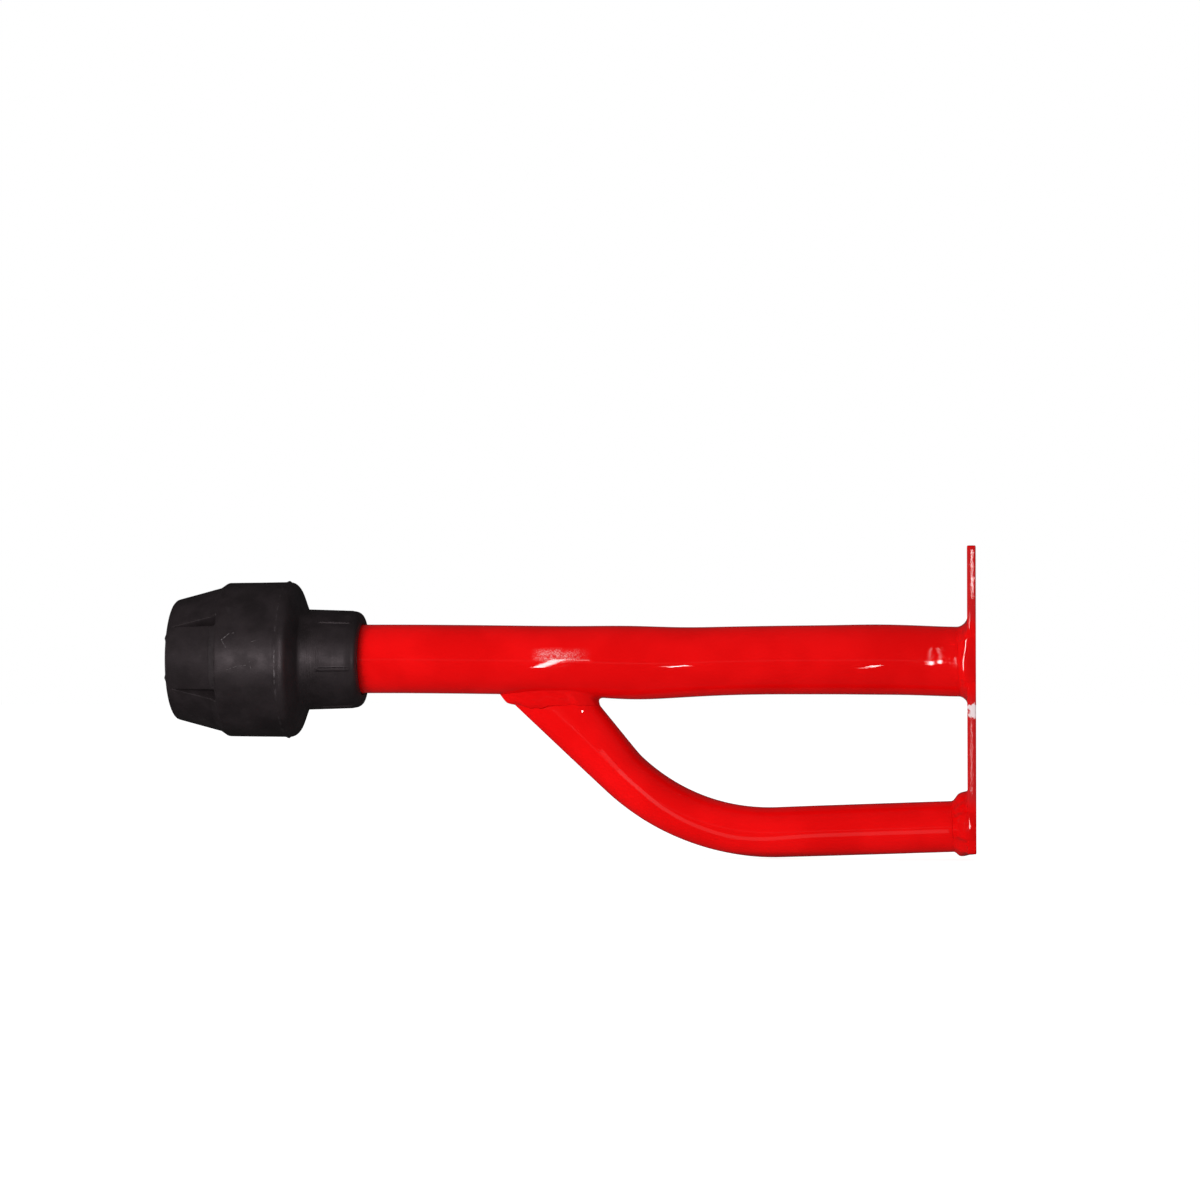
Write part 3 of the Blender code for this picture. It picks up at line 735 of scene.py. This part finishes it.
def bumper_outside(angle):
    """Rings of the moulding's outside, pressed in at the flutes and raised at ribs and flash."""
    x, radius = rounded_line(BUMPER_OUTSIDE, 0.45).T
    column = x[:, None]
    reach = flute_limit(column, radius[:, None] + 0 * angle, angle)
    reach += np.where(column > NECK_START[0], rib_rise(column, reach, angle), 0.0)
    reach += flash_rise(x, angle) * (radius > 25)[:, None]
    widest = (bumper_high[1] - 0.04) / np.maximum(np.abs(np.cos(angle)), 0.9)
    outer_x = column - nose_nubs(x, angle) * (radius > 20)[:, None]
    rings = bumper_rings(outer_x, np.minimum(reach, widest), angle)
    lumps = grain(rings, 9.0, 12) * smooth(column, NOSE + 0.6, NOSE + 1.6)
    return rings - 0.05 * np.abs(lumps)[..., None] * radial(rings, 0.0)


def bumper_piece():
    """The moulding: its outside from the recess's lip to the mouth, and back through the bore."""
    angle = bumper_columns()
    inside = rounded_line(BUMPER_INSIDE, 2.0)[1:-1]
    bore = bumper_rings(inside[:, :1], inside[:, 1:], angle)
    grid = np.concatenate((bumper_outside(angle), bore))
    grid[..., 2] += BUMPER_SAG
    return ring_solid("moulded_bumper", grid, 38)


# ---- fasteners

# Chamfers as (distance in from the face, most radius), over the hexagon's corners.
HEAD_CHAMFER = ((0.0, 7.7), (0.1, 8.05), (0.5, 8.9), (0.9, 9.6), (1.1, 9.9))
NUT_CHAMFER = ((0.05, 8.6), (0.4, 9.2), (0.8, 9.9))
THREAD_STEP = THREAD_PITCH / 10


def thread_radius(x, angle, crest, root):
    """Radius of a right-hand thread at a place. Bolt and nut share its phase, so they mesh."""
    phase = (x / THREAD_PITCH + angle / TAU) % 1.0
    wave = np.abs(phase - 0.5) * 2
    return root + (crest - root) * np.clip(1.35 * wave - 0.1, 0.0, 1.0)


def hex_radius(angle):
    """Distance from the middle to a hexagon's side, flats up and down."""
    folded = (angle + math.pi / 6) % (math.pi / 3) - math.pi / 6
    return HEX_HALF / np.cos(folded)


def shank_profile(start, tip, angle):
    """A plain neck that becomes a thread, with a lead-in at its tip, as (x, radius)."""
    profile = []
    for x in np.arange(start, tip, THREAD_STEP):
        crest = 4.95 - 1.0 * float(smooth(x, tip - 1.1, tip))
        fade = float(smooth(x, start, start + 1.5)) * (1 - float(smooth(x, tip - 1.0, tip)))
        profile.append((x, thread_radius(x, angle, crest, crest - 0.85 * fade)))
    return profile


def bolt_piece():
    """Hexagon bolt: chamfered head with a washer face, then a threaded shank with a lead-in."""
    angle = round_angles(96)
    seat, top, tip = spring_low[0] - 0.3, bolt_low[0], bolt_high[0]
    hexagon, collar = hex_radius(angle), HEX_HALF * 0.97
    profile = [(top + inset, np.minimum(hexagon, cap)) for inset, cap in HEAD_CHAMFER]
    profile += [(x, hexagon) for x in (top + 3.0, seat - 0.7, seat - 0.5)]
    profile += [(seat - 0.45, collar), (seat, collar), (seat, 5.2), (seat + 0.2, 5.0)]
    profile += shank_profile(seat + 2.0, tip, angle) + [(tip, 3.6)]
    rings = [polar(x, radius, angle) for x, radius in profile]
    return spindle_solid("zinc_bumper_bolt", np.array(rings), 32)


def nut_piece():
    """Hexagon nut with both corners trimmed and a threaded bore."""
    angle = round_angles(96)
    low, high = nut_low[0], nut_high[0]
    hexagon = hex_radius(angle)
    profile = [(low + inset, np.minimum(hexagon, cap)) for inset, cap in NUT_CHAMFER]
    profile += [(high - inset, np.minimum(hexagon, cap)) for inset, cap in NUT_CHAMFER[::-1]]
    profile = [(low, 8.2), *profile, (high, 8.2), (high, 5.4)]
    for x in np.arange(high - 0.3, low + 0.3, -THREAD_STEP):
        profile.append((x, thread_radius(x, angle, 5.12, 4.3)))
    profile.append((low, 5.4))
    rings = [polar(x, radius, angle) for x, radius in profile]
    return ring_solid("tube_nut", np.array(rings), 32)


def lathe_ring(name, outline):
    """A ring turned from an outline of (x, radius) points."""
    x, radius = np.array(outline).T
    grid = np.array([polar(x, radius, turn) for turn in round_angles(128)])
    return ring_solid(name, grid, 30)


def split_ring(name, outline, half_slit, rise):
    """The same with a slit, its two ends sprung apart along X by this rise."""
    x, radius = np.array(outline).T
    grid = []
    for share in np.arange(129) / 128:
        turn = half_slit + (TAU - 2 * half_slit) * share
        grid.append(polar(x + rise * (share - 0.5), radius, turn))
    return spindle_solid(name, np.array(grid), 30)


def chamfered(low, high, outer, inner, cut):
    """Outline of a rectangular ring section with its corners cut."""
    xs = (low, low + cut, high - cut, high)
    inside = zip(xs, (inner + cut, inner, inner, inner + cut))
    outside = zip(xs[::-1], (outer - cut, outer, outer, outer - cut))
    return [*inside, *outside]


def flat_washer_piece():
    """A stamped flat washer."""
    outline = chamfered(flat_low[0], flat_high[0], flat_high[1], 5.4, 0.2)
    return lathe_ring("zinc_flat_washer", outline)


def spring_washer_piece():
    """A split spring washer, nearly flattened."""
    outline = chamfered(spring_low[0] + 0.1, spring_high[0] - 0.1, spring_high[1], 5.2, 0.12)
    return split_ring("zinc_spring_washer", outline, math.radians(4), 0.35)


# ---- materials


class Nodes:
    """A material's node tree, with short calls for the nodes used here."""

    def __init__(self, name):
        self.material = bpy.data.materials.new(name)
        self.material.use_nodes = True
        self.tree = self.material.node_tree
        self.shader = self.tree.nodes["Principled BSDF"]
        self.place = self.add("ShaderNodeTexCoord").outputs["Object"]

    def add(self, kind, inputs=(), **settings):
        """A node with these settings, whose inputs hold a value or a link each."""
        node = self.tree.nodes.new(kind)
        for key, value in settings.items():
            setattr(node, key, value)
        for key, value in dict(inputs).items():
            self.feed(node.inputs[key], value)
        return node

    def feed(self, socket, value):
        if isinstance(value, bpy.types.NodeSocket):
            self.tree.links.new(value, socket)
        else:
            socket.default_value = value

    def vector(self, operation, first, second):
        inputs = {0: first, "Scale" if operation == "SCALE" else 1: second}
        node = self.add("ShaderNodeVectorMath", inputs, operation=operation)
        return node.outputs["Value" if operation in ("DOT_PRODUCT", "DISTANCE") else "Vector"]

    def axes(self):
        node = self.add("ShaderNodeSeparateXYZ", {0: self.place})
        return node.outputs["X"], node.outputs["Y"], node.outputs["Z"]

    def noise(self, scale, detail=2.0, roughness=0.5, stretch=None):
        """Noise from 0 to 1, its features squeezed along each axis by the stretch if one is given."""
        place = self.place if stretch is None else self.vector("MULTIPLY", self.place, stretch)
        inputs = {"Vector": place, "Scale": scale, "Detail": detail, "Roughness": roughness}
        return self.add("ShaderNodeTexNoise", inputs).outputs["Fac"]

    def spots(self, scale):
        node = self.add("ShaderNodeTexVoronoi", {"Vector": self.place, "Scale": scale})
        return node.outputs["Distance"]

    def span(self, value, from_low, from_high, to_low=0.0, to_high=1.0):
        """Carries one range over to another along an S curve, and holds its ends beyond them."""
        inputs = {"Value": value, "From Min": from_low, "From Max": from_high}
        inputs |= {"To Min": to_low, "To Max": to_high}
        node = self.add("ShaderNodeMapRange", inputs, interpolation_type="SMOOTHSTEP")
        return node.outputs["Result"]

    def band(self, value, low, rise, fall, high):
        """1 between rise and fall, sinking to 0 at low and high."""
        return self.product(self.span(value, low, rise), self.span(value, fall, high, 1.0, 0.0))

    def math(self, operation, first, second=0.0, clamp=False):
        inputs = {0: first, 1: second}
        node = self.add("ShaderNodeMath", inputs, operation=operation, use_clamp=clamp)
        return node.outputs[0]

    def product(self, first, second):
        return self.math("MULTIPLY", first, second)

    def mix(self, share, first, second):
        inputs = {"Factor": share, "A": first, "B": second}
        return self.add("ShaderNodeMix", inputs, data_type="RGBA").outputs["Result"]

    def patch(self, centre, reach):
        """1 inside a ragged spot round a place, 0 beyond its reach."""
        gap = self.vector("DISTANCE", self.place, centre)
        ragged = self.product(self.noise(900, 3.0, 0.6), 1.9 * reach)
        return self.span(self.math("ADD", gap, ragged), reach * 1.5, reach * 1.85, 1.0, 0.0)

    def scratch(self, start, end, width):
        """1 along a straight scratch between two places, fading to 0 at its width."""
        along = end - start
        dot = self.vector("DOT_PRODUCT", self.vector("SUBTRACT", self.place, start), along)
        share = self.math("DIVIDE", dot, along.length_squared, clamp=True)
        foot = self.vector("ADD", self.vector("SCALE", along, share), start)
        gap = self.vector("DISTANCE", self.place, foot)
        return self.math("SUBTRACT", 1.0, self.math("DIVIDE", gap, width, clamp=True))

    def bumps(self, *layers):
        """The normal left by layers of (height from 0 to 1, its size in millimetres)."""
        below = {}
        for height, size in layers:
            inputs = {"Strength": 1.0, "Distance": size * MM, "Height": height, **below}
            below = {"Normal": self.add("ShaderNodeBump", inputs).outputs["Normal"]}
        return below["Normal"]

    def set(self, **inputs):
        for key, value in inputs.items():
            self.feed(self.shader.inputs[key.replace("_", " ")], value)


# Pale pink spots on the plate's near edge, as (centre, reach) in metres: a painted highlight.
PAINTED_GLINT_SPOTS = (((-0.0013, -0.0124, -0.0168), 0.0024), ((-0.0010, -0.0124, -0.0185), 0.0019))
DEEP_RED, BRIGHT_RED = (0.78, 0.0022, 0.0026, 1), (0.88, 0.0034, 0.0040, 1)
# Darker red for the enamel's creases: painted shade.
CREASE_SHADE_RED = (0.60, 0.0014, 0.0020, 1)
# Darker, pinker red for the plate's edge face: a darker tone with a painted pink sheen.
EDGE_RED_WITH_SHEEN = (0.62, 0.012, 0.014, 1)
# Pale pink of those spots: a painted highlight.
PAINTED_GLINT_PINK = (0.94, 0.78, 0.80, 1)
# Pale pink of the specks above the main tube's streak glint: a painted sparkle highlight.
PAINTED_SPARKLE_PINK = (0.92, 0.55, 0.55, 1)


def painted_sparkle(n, x, z):
    """Pale specks on the main tube over the saddle weld: a painted sparkle highlight."""
    across = n.band(z, -0.0010, 0.0006, 0.0014, 0.0046)
    area = n.product(n.band(x, -0.1530, -0.1475, -0.1455, -0.1310), across)
    uneven = n.product(area, n.span(n.noise(330), 0.34, 0.56, 0.25, 1.0))
    return n.product(uneven, n.span(n.noise(2300, 3.0, 0.7), 0.42, 0.66, 0.1, 0.9))


def red_enamel(name, edge_sheen_and_pits_level):
    """Thick gloss enamel: slow colour drift, painted shade darkening its creases, a darker tone
    with a painted pink sheen on the plate's edge face, and pale spots and specks painted as
    highlights on the plate's edge and the main tube.

    Its bump holds orange peel, slow sags, dust nibs and pits along the plate's edge.
    """
    n = Nodes(name)
    base = n.mix(n.span(n.noise(45), 0.35, 0.65), DEEP_RED, BRIGHT_RED)
    # An occlusion node darkens the colour in creases and weld toes: painted shade.
    crease = n.add("ShaderNodeAmbientOcclusion", {"Distance": 3.0 * MM}, samples=4)
    colour = n.mix(n.span(crease.outputs["AO"], 0.35, 0.85), CREASE_SHADE_RED, base)
    x, y, z = n.axes()
    # The plate's edge face clear of the welds: a darker tone with a painted pink sheen, and pits.
    clear_of_welds = n.span(n.math("ABSOLUTE", z), 0.010, 0.017)
    clear_of_welds = n.product(clear_of_welds, n.span(z, -0.052, -0.046))
    edge_sheen_and_pits = n.product(clear_of_welds, n.span(n.math("ABSOLUTE", y), 0.0118, 0.0123, 0.0, edge_sheen_and_pits_level))
    colour = n.mix(edge_sheen_and_pits, colour, EDGE_RED_WITH_SHEEN)
    # Pale pink spots on the plate's edge: a painted highlight.
    for centre, reach in PAINTED_GLINT_SPOTS:
        colour = n.mix(n.patch(centre, reach), colour, PAINTED_GLINT_PINK)
    normal = n.bumps(
        (n.noise(620, 2.0, 0.4), 0.0025),
        (n.noise(95, 1.0, 0.4), 0.012),
        (n.span(n.spots(420), 0.0, 0.09, 1.0, 0.0), 0.006),
        (n.product(n.noise(1000, 2.0, 0.6), edge_sheen_and_pits), 0.1),
    )
    n.set(
        # The pale specks over the saddle weld are a painted sparkle highlight.
        Base_Color=n.mix(painted_sparkle(n, x, z), colour, PAINTED_SPARKLE_PINK),
        Roughness=n.span(n.noise(160, 3.0), 0.3, 0.7, 0.03, 0.05),
        Normal=normal,
        Coat_Normal=normal,
        Coat_Weight=0.35,
        Coat_Roughness=0.02,
        Specular_IOR_Level=0.45,
    )
    return n.material


# Nicks on the drum's near side: where each starts and ends along X and up, and its width.
DRUM_SCRATCHES = (
    (-258.2, 6.9, -255.8, 8.9, 0.22),
    (-255.8, 8.9, -254.0, 9.3, 0.16),
    (-258.0, 6.6, -256.6, 4.2, 0.14),
    (-247.6, 6.2, -245.2, 7.0, 0.2),
    (-259.2, -4.4, -253.0, -2.4, 0.14),
    (-253.0, -2.4, -249.4, -1.9, 0.12),
    (-248.2, -0.8, -247.8, -2.9, 0.22),
)


def on_drum(x, height):
    """A place on the drum's near side, in metres."""
    return Vector((x, -math.sqrt((DRUM_START[1] + 0.1) ** 2 - height**2), height)) * MM


def scratches_and_lip_glints(n, x, z):
    """Nicks and scratches on the drum, and the torn lip lightened at mid height: a painted glint."""
    marks = 0.0
    for x1, z1, x2, z2, width in DRUM_SCRATCHES:
        mark = n.scratch(on_drum(x1, z1), on_drum(x2, z2), width * MM)
        marks = n.math("MAXIMUM", marks, mark)
    marks = n.product(marks, n.span(n.noise(1500), 0.35, 0.6))
    # The lip is lightened most at mid height, where the drum's sheen falls: a painted glint.
    middle = (FLASH + 0.05) * MM
    lip = n.band(x, middle - 0.4 * MM, middle, middle, middle + 0.5 * MM)
    torn = n.span(n.noise(420, 3.0), 0.46, 0.62)
    torn = n.product(torn, n.span(n.math("ABSOLUTE", z), 0.007, 0.013, 0.6, 0.1))
    return n.math("MAXIMUM", marks, n.product(lip, torn))


def lathe_lines(n, x):
    """Fine and broad lines left by the mould's turning: on the neck, and deepest where it starts."""
    on_neck = n.span(x, -0.2365, -0.2345)
    deep = n.product(n.span(x, -0.2332, -0.2318), n.span(x, -0.2285, -0.2235, 3.5, 1.0))
    fine = n.math("SUBTRACT", n.noise(1.0, 2.0, 0.7, (2600.0, 18.0, 18.0)), 0.5)
    broad = n.math("SUBTRACT", n.noise(1.0, 1.0, 0.5, (900.0, 9.0, 9.0)), 0.5)
    return n.product(fine, n.math("MAXIMUM", on_neck, deep)), n.product(broad, on_neck)


def black_rubber():
    """Hard moulded rubber: mottled black, fine grain, lathe lines on the neck, scratches and dust.

    Its torn lip is lightened at mid height: a painted glint.
    """
    n = Nodes("black_rubber")
    mottle = n.span(n.noise(110, 4.0, 0.6), 0.3, 0.7)
    colour = n.mix(mottle, (0.0104, 0.0080, 0.0087, 1), (0.0180, 0.0138, 0.0151, 1))
    dust = n.span(n.noise(260, 6.0, 0.7), 0.56, 0.78, 0.0, 0.35)
    colour = n.mix(n.product(dust, 0.5), colour, (0.05, 0.045, 0.047, 1))
    x, _, z = n.axes()
    marks = scratches_and_lip_glints(n, x, z)
    fine_lines, broad_lines = lathe_lines(n, x)
    normal = n.bumps(
        (n.noise(2400, 3.0, 0.6), 0.006),
        (n.noise(330), 0.03),
        (fine_lines, 0.03),
        (broad_lines, 0.05),
        (marks, 0.08),
    )
    rough = n.span(n.noise(190, 3.0), 0.3, 0.7, 0.44, 0.56)
    n.set(
        # Lighter along the scratches, and along the lip as a painted glint.
        Base_Color=n.mix(n.product(marks, 0.85), colour, (0.15, 0.135, 0.14, 1)),
        Roughness=n.math("ADD", rough, n.product(marks, 0.1)),
        Normal=normal,
        Specular_IOR_Level=0.5,
        Specular_Tint=(1.0, 0.84, 0.89, 1),
    )
    return n.material


def zinc():
    """Bright zinc plate: faint warm passivation, machining lines and small dull patches."""
    n = Nodes("zinc_steel")
    tint = n.span(n.noise(140, 3.0), 0.35, 0.65)
    n.set(
        Base_Color=n.mix(tint, (0.62, 0.61, 0.57, 1), (0.52, 0.53, 0.54, 1)),
        Metallic=1.0,
        Roughness=n.span(n.noise(300, 4.0, 0.6), 0.3, 0.7, 0.31, 0.38),
        Normal=n.bumps((n.noise(1.0, 3.0, 0.6, (3000.0, 300.0, 300.0)), 0.006)),
    )
    return n.material


def floor_paint():
    """Pale studio floor with a very faint mottle, lit from within just enough to lose its horizon."""
    n = Nodes("studio_floor")
    colour = n.mix(n.noise(3.0), (0.50, 0.50, 0.50, 1), (0.54, 0.54, 0.54, 1))
    rays = n.add("ShaderNodeLightPath")
    glow = n.span(rays.outputs["Is Camera Ray"], 0.0, 1.0, 0.22, 0.88)
    n.set(Base_Color=colour, Roughness=0.9, Emission_Color=(1, 1, 1, 1), Emission_Strength=glow)
    return n.material


# ---- assembly


def lit_group(pieces):
    """A collection that a lamp can be limited to, so that it shines on these pieces only."""
    group = bpy.data.collections.new("lit_" + pieces[0].name)
    for piece in pieces:
        group.objects.link(piece)
    return group


def finish_piece(piece, material, body, slot, node):
    """Gives a piece its material and its body, and hides the CAD node that it stands for.

    Its slot is not used.
    """
    piece.data.materials.clear()
    piece.data.materials.append(material)
    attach(piece, body)
    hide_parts(node)
    return piece


def build_object():
    """Every piece, by the CAD node it stands for."""
    enamel, rubber, steel = red_enamel("red_enamel", 0.0), black_rubber(), zinc()
    red = (enamel, "frame", "red_enamel")
    rows = (
        (plate_piece, red_enamel("red_enamel_plate", 1.0), "frame", "red_enamel", "mounting_plate"),
        (main_tube_piece, *red, "main_tube"),
        (brace_piece, *red, "brace_tube"),
        (main_weld_piece, *red, "weld_main_to_plate"),
        (foot_weld_piece, *red, "weld_brace_to_plate"),
        (saddle_weld_piece, *red, "weld_brace_to_main"),
        (nut_weld_piece, *red, "weld_nut_to_tube"),
        (nut_piece, steel, "frame", "zinc_steel", "tube_end_nut"),
        (bumper_piece, rubber, "bumper", "black_rubber", "rubber_bumper"),
        (flat_washer_piece, steel, "washers", "zinc_steel", "flat_washer"),
        (spring_washer_piece, steel, "washers", "zinc_steel", "spring_washer"),
        (bolt_piece, steel, "bolt", "zinc_steel", "bumper_bolt"),
    )
    return {row[-1]: finish_piece(make(), *row) for make, *row in rows}


def lit_groups(pieces):
    """A lit group for each piece, one for the enamel in sight and one for the steel."""
    groups = {node: lit_group([piece]) for node, piece in pieces.items()}
    every = list(pieces.values())
    groups["red"] = lit_group(every[:6])
    groups["steel"] = lit_group([every[7], *every[9:]])
    return groups


# ---- studio

CAMERA_PLACE = (0.0, -1.2, -0.0105)
CAMERA_YAW = 6.18
CAMERA_PITCH = 1.49
CAMERA_LENS = 104.16
AIM = Vector((-0.13, 0.0, -0.01))
# How far a glint's lamp hangs from the surface that mirrors it, in millimetres.
FAR_GLINT = 160.0
NEAR_GLINT = 10.0
SOFT_GLINT = 15.0
LINE_GLINT = 8.0
# Glints as (name, start, end, width, radiance): where a streak starts and ends along X and up.
TUBE_GLINTS = (
    ("streak_low", (-150.4, -2.7), (-145.8, -1.3), 3.2, 20),
    ("streak_rise", (-146.0, -1.3), (-142.6, 0.1), 3.6, 15),
    ("streak_high", (-143.0, 0.1), (-132.4, -0.3), 2.6, 9),
    ("dash", (-106.8, -2.2), (-97.6, -2.2), 5.0, 9),
    ("dash_core", (-102.6, -2.2), (-100.6, -2.2), 16.0, 24),
    ("flick", (-39.0, -2.9), (-32.4, -1.9), 4.0, 5),
    ("flick_core", (-35.8, -2.4), (-33.6, -2.1), 6.0, 14),
    ("dot_left", (-15.3, -1.9), (-15.3, -0.7), 1.5, 26),
    ("dot_right", (-12.2, -1.6), (-12.2, -0.4), 1.4, 24),
    ("arc_left", (-15.7, -0.4), (-15.1, 4.0), 0.4, 5),
    ("arc_right", (-12.0, 0.0), (-12.9, 4.1), 0.45, 6),
    ("toe_fleck", (-7.0, 0.8), (-6.8, -2.4), 0.4, 6),
)
EDGE_GLINTS = (
    ("edge_top", (-1.3, 37.6), (-1.3, 29.5), 1.3, 16),
    ("edge_high", (-1.2, 28.8), (-1.1, 22.2), 1.5, 18),
    ("edge_inner", (-2.2, 15.2), (-2.3, 10.5), 0.5, 9),
    ("edge_low", (-1.6, -21.0), (-1.6, -45.0), 0.6, 8),
)
BRACE_GLINTS = (("brace_dot", (-135.7, -17.5), (-135.2, -17.9), 1.3, 30),)
RUBBER_GLINTS = (
    ("rim_gleam", (-238.2, 8.0), (-238.2, -9.0), 2.5, 2.2),
    ("neck_gleam", (-231.6, 3.5), (-231.6, -1.5), 2.5, 3.0),
)
MAIN_BEAD_GLINTS = (
    ("bead_high", (-3.3, 6.6), (-3.9, 1.9), 1.2, 26),
    ("bead_low", (-3.95, 1.2), (-4.25, -3.6), 1.4, 30),
)
FOOT_BEAD_GLINTS = (("foot_swirl", (-2.4, -55.6), (-2.1, -57.2), 1.2, 14),)


def area_light(name, place, size, power, group=None, glossy=True):
    """A lamp turned towards the object. It may shine on one group only, or not show in gloss."""
    data = bpy.data.lights.new(name, "AREA")
    data.shape = "RECTANGLE"
    data.size, data.size_y = size
    data.energy = power
    light = new_object(name, data)
    light.location = place
    light.rotation_euler = (AIM - Vector(place)).to_track_quat("-Z", "Y").to_euler()
    light.light_linking.receiver_collection = group
    light.visible_glossy = glossy
    light.visible_camera = False
    return light


def smooth_normal(piece, point, face):
    """The shaded normal at a point of a face, from the normals of its corners."""
    total = Vector()
    for index in piece.data.polygons[face].vertices:
        corner = piece.data.vertices[index]
        total += corner.normal / max((corner.co - point).length, 0.01 * MM)
    return total.normalized()


def mirror_spot(piece, x, height):
    """A spot on a piece and the direction in which the camera sees it mirror things.

    The spot is the one straight behind this x and height, in millimetres.
    """
    origin = Vector((x * MM, CAMERA_PLACE[1], height * MM))
    _, point, _, face = piece.ray_cast(origin, Vector((0.0, 1.0, 0.0)))
    normal = smooth_normal(piece, point, face)
    view = (Vector(CAMERA_PLACE) - point).normalized()
    return point, 2 * normal.dot(view) * normal - view


def glint(group, distance, name, start, end, width, radiance):
    """A strip lamp that a group's piece mirrors as a streak between two spots on it."""
    first, first_ray = mirror_spot(group.objects[0], *start)
    last, last_ray = mirror_spot(group.objects[0], *end)
    first, last = first + first_ray * distance * MM, last + last_ray * distance * MM
    along, away = last - first, (first_ray + last_ray).normalized()
    side = along.cross(away).normalized()
    size = (width * MM, along.length)
    power = radiance * math.pi * size[0] * size[1]
    light = area_light(name, (first + last) / 2, size, power, group)
    light.rotation_euler = Matrix((side, away.cross(side), away)).transposed().to_euler()
    light.visible_diffuse = False


def brace_line():
    """Rows of glints that make a faint line along the brace. It sinks below the middle in the bend."""
    distances = np.linspace(6.5, path.straight_start + 12.0, 15)
    sags = 8.5 * hump(distances, 80.0, 16.0) - 10.0 * smooth(distances, 100.0, 122.0)
    angles = 1.5 * math.pi - np.radians(8.0 + sags)
    spots = [path.surface(distance, angle)[[0, 2]] for distance, angle in zip(distances, angles)]
    bright = 0.3 + 0.25 * smooth(distances, 85.0, 115.0)
    bright *= 1 - 0.8 * smooth(distances, path.straight_start - 8.0, path.straight_start + 12.0)
    ends = zip(spots, spots[1:], bright)
    return [(f"brace_line_{i}", start, end, 3.6, b) for i, (start, end, b) in enumerate(ends)]


def build_glints(groups):
    """The streaks, dots and lines that single pieces mirror."""
    for node, distance, rows in (
        ("main_tube", FAR_GLINT, TUBE_GLINTS),
        ("mounting_plate", NEAR_GLINT, EDGE_GLINTS),
        ("brace_tube", NEAR_GLINT, BRACE_GLINTS),
        ("brace_tube", LINE_GLINT, brace_line()),
        ("rubber_bumper", SOFT_GLINT, RUBBER_GLINTS),
        ("weld_main_to_plate", NEAR_GLINT, MAIN_BEAD_GLINTS),
        ("weld_brace_to_plate", NEAR_GLINT, FOOT_BEAD_GLINTS),
    ):
        for row in rows:
            glint(groups[node], distance, *row)


def build_lights(groups):
    """A broad soft key and a top light, fills for the rubber and the enamel, and the glints."""
    red, brace, rubber = groups["red"], groups["brace_tube"], groups["rubber_bumper"]
    area_light("key", (-0.95, -1.3, 0.08), (1.0, 0.8), 17.0, glossy=False)
    area_light("top", (-0.4, 0.1, 1.6), (1.6, 1.6), 3.6, glossy=False)
    area_light("line", (-0.25, -1.1, -0.05), (0.8, 0.05), 0.02)
    area_light("fill", (-0.45, -0.45, -0.05), (0.1, 0.1), 0.9, red, glossy=False)
    area_light("under", (-0.38, -0.5, -0.055), (0.1, 0.1), 0.42, brace, glossy=False)
    area_light("sheen", (-0.5, -1.2, -0.012), (0.06, 0.06), 3.4, rubber)
    area_light("step_side", (-1.2, 0.05, 0.0), (0.3, 0.3), 0.8, rubber)
    area_light("back_side", (0.6, -0.6, 0.0), (0.3, 0.3), 2.3, rubber)
    area_light("steel_side", (-0.9, -0.3, 0.25), (0.9, 0.9), 4.5, groups["steel"])
    bpy.context.view_layer.update()
    build_glints(groups)


def build_world():
    """White behind everything the camera sees, and a dim even grey for what the gloss reflects."""
    world = bpy.data.worlds.new("studio")
    world.use_nodes = True
    nodes, links = world.node_tree.nodes, world.node_tree.links
    rays = nodes.new("ShaderNodeLightPath")
    seen, shown = nodes.new("ShaderNodeMix"), nodes.new("ShaderNodeMix")
    for mix, ray, level in ((seen, "Is Camera Ray", 1.0), (shown, "Is Glossy Ray", 0.03)):
        mix.data_type = "FLOAT"
        mix.inputs["B"].default_value = level
        links.new(rays.outputs[ray], mix.inputs["Factor"])
    seen.inputs["A"].default_value = 0.40
    links.new(seen.outputs["Result"], shown.inputs["A"])
    links.new(shown.outputs["Result"], nodes["Background"].inputs["Strength"])
    nodes["Background"].inputs["Color"].default_value = (1, 1, 1, 1)
    bpy.context.scene.world = world


def build_floor():
    """A wide pale floor, just under the object."""
    bm = bmesh.new()
    bmesh.ops.create_grid(bm, x_segments=8, y_segments=8, size=12.0)
    mesh = bpy.data.meshes.new("studio_floor")
    bm.to_mesh(mesh)
    bm.free()
    mesh.materials.append(floor_paint())
    floor = new_object("studio_floor", mesh)
    floor.location.z = cad_low[2] - 0.0005
    floor.visible_glossy = False


def build_camera():
    """The photo's view: from -Y, turned a little to the left and up."""
    data = bpy.data.cameras.new("camera")
    data.lens = CAMERA_LENS
    data.sensor_width = 36.0
    camera = new_object("camera", data)
    camera.location = CAMERA_PLACE
    camera.rotation_euler = (math.radians(90 + CAMERA_PITCH), 0.0, math.radians(CAMERA_YAW))
    bpy.context.scene.camera = camera


groups = lit_groups(build_object())
build_floor()
build_lights(groups)
build_world()
build_camera()
bpy.context.scene.view_settings.view_transform = "Standard"
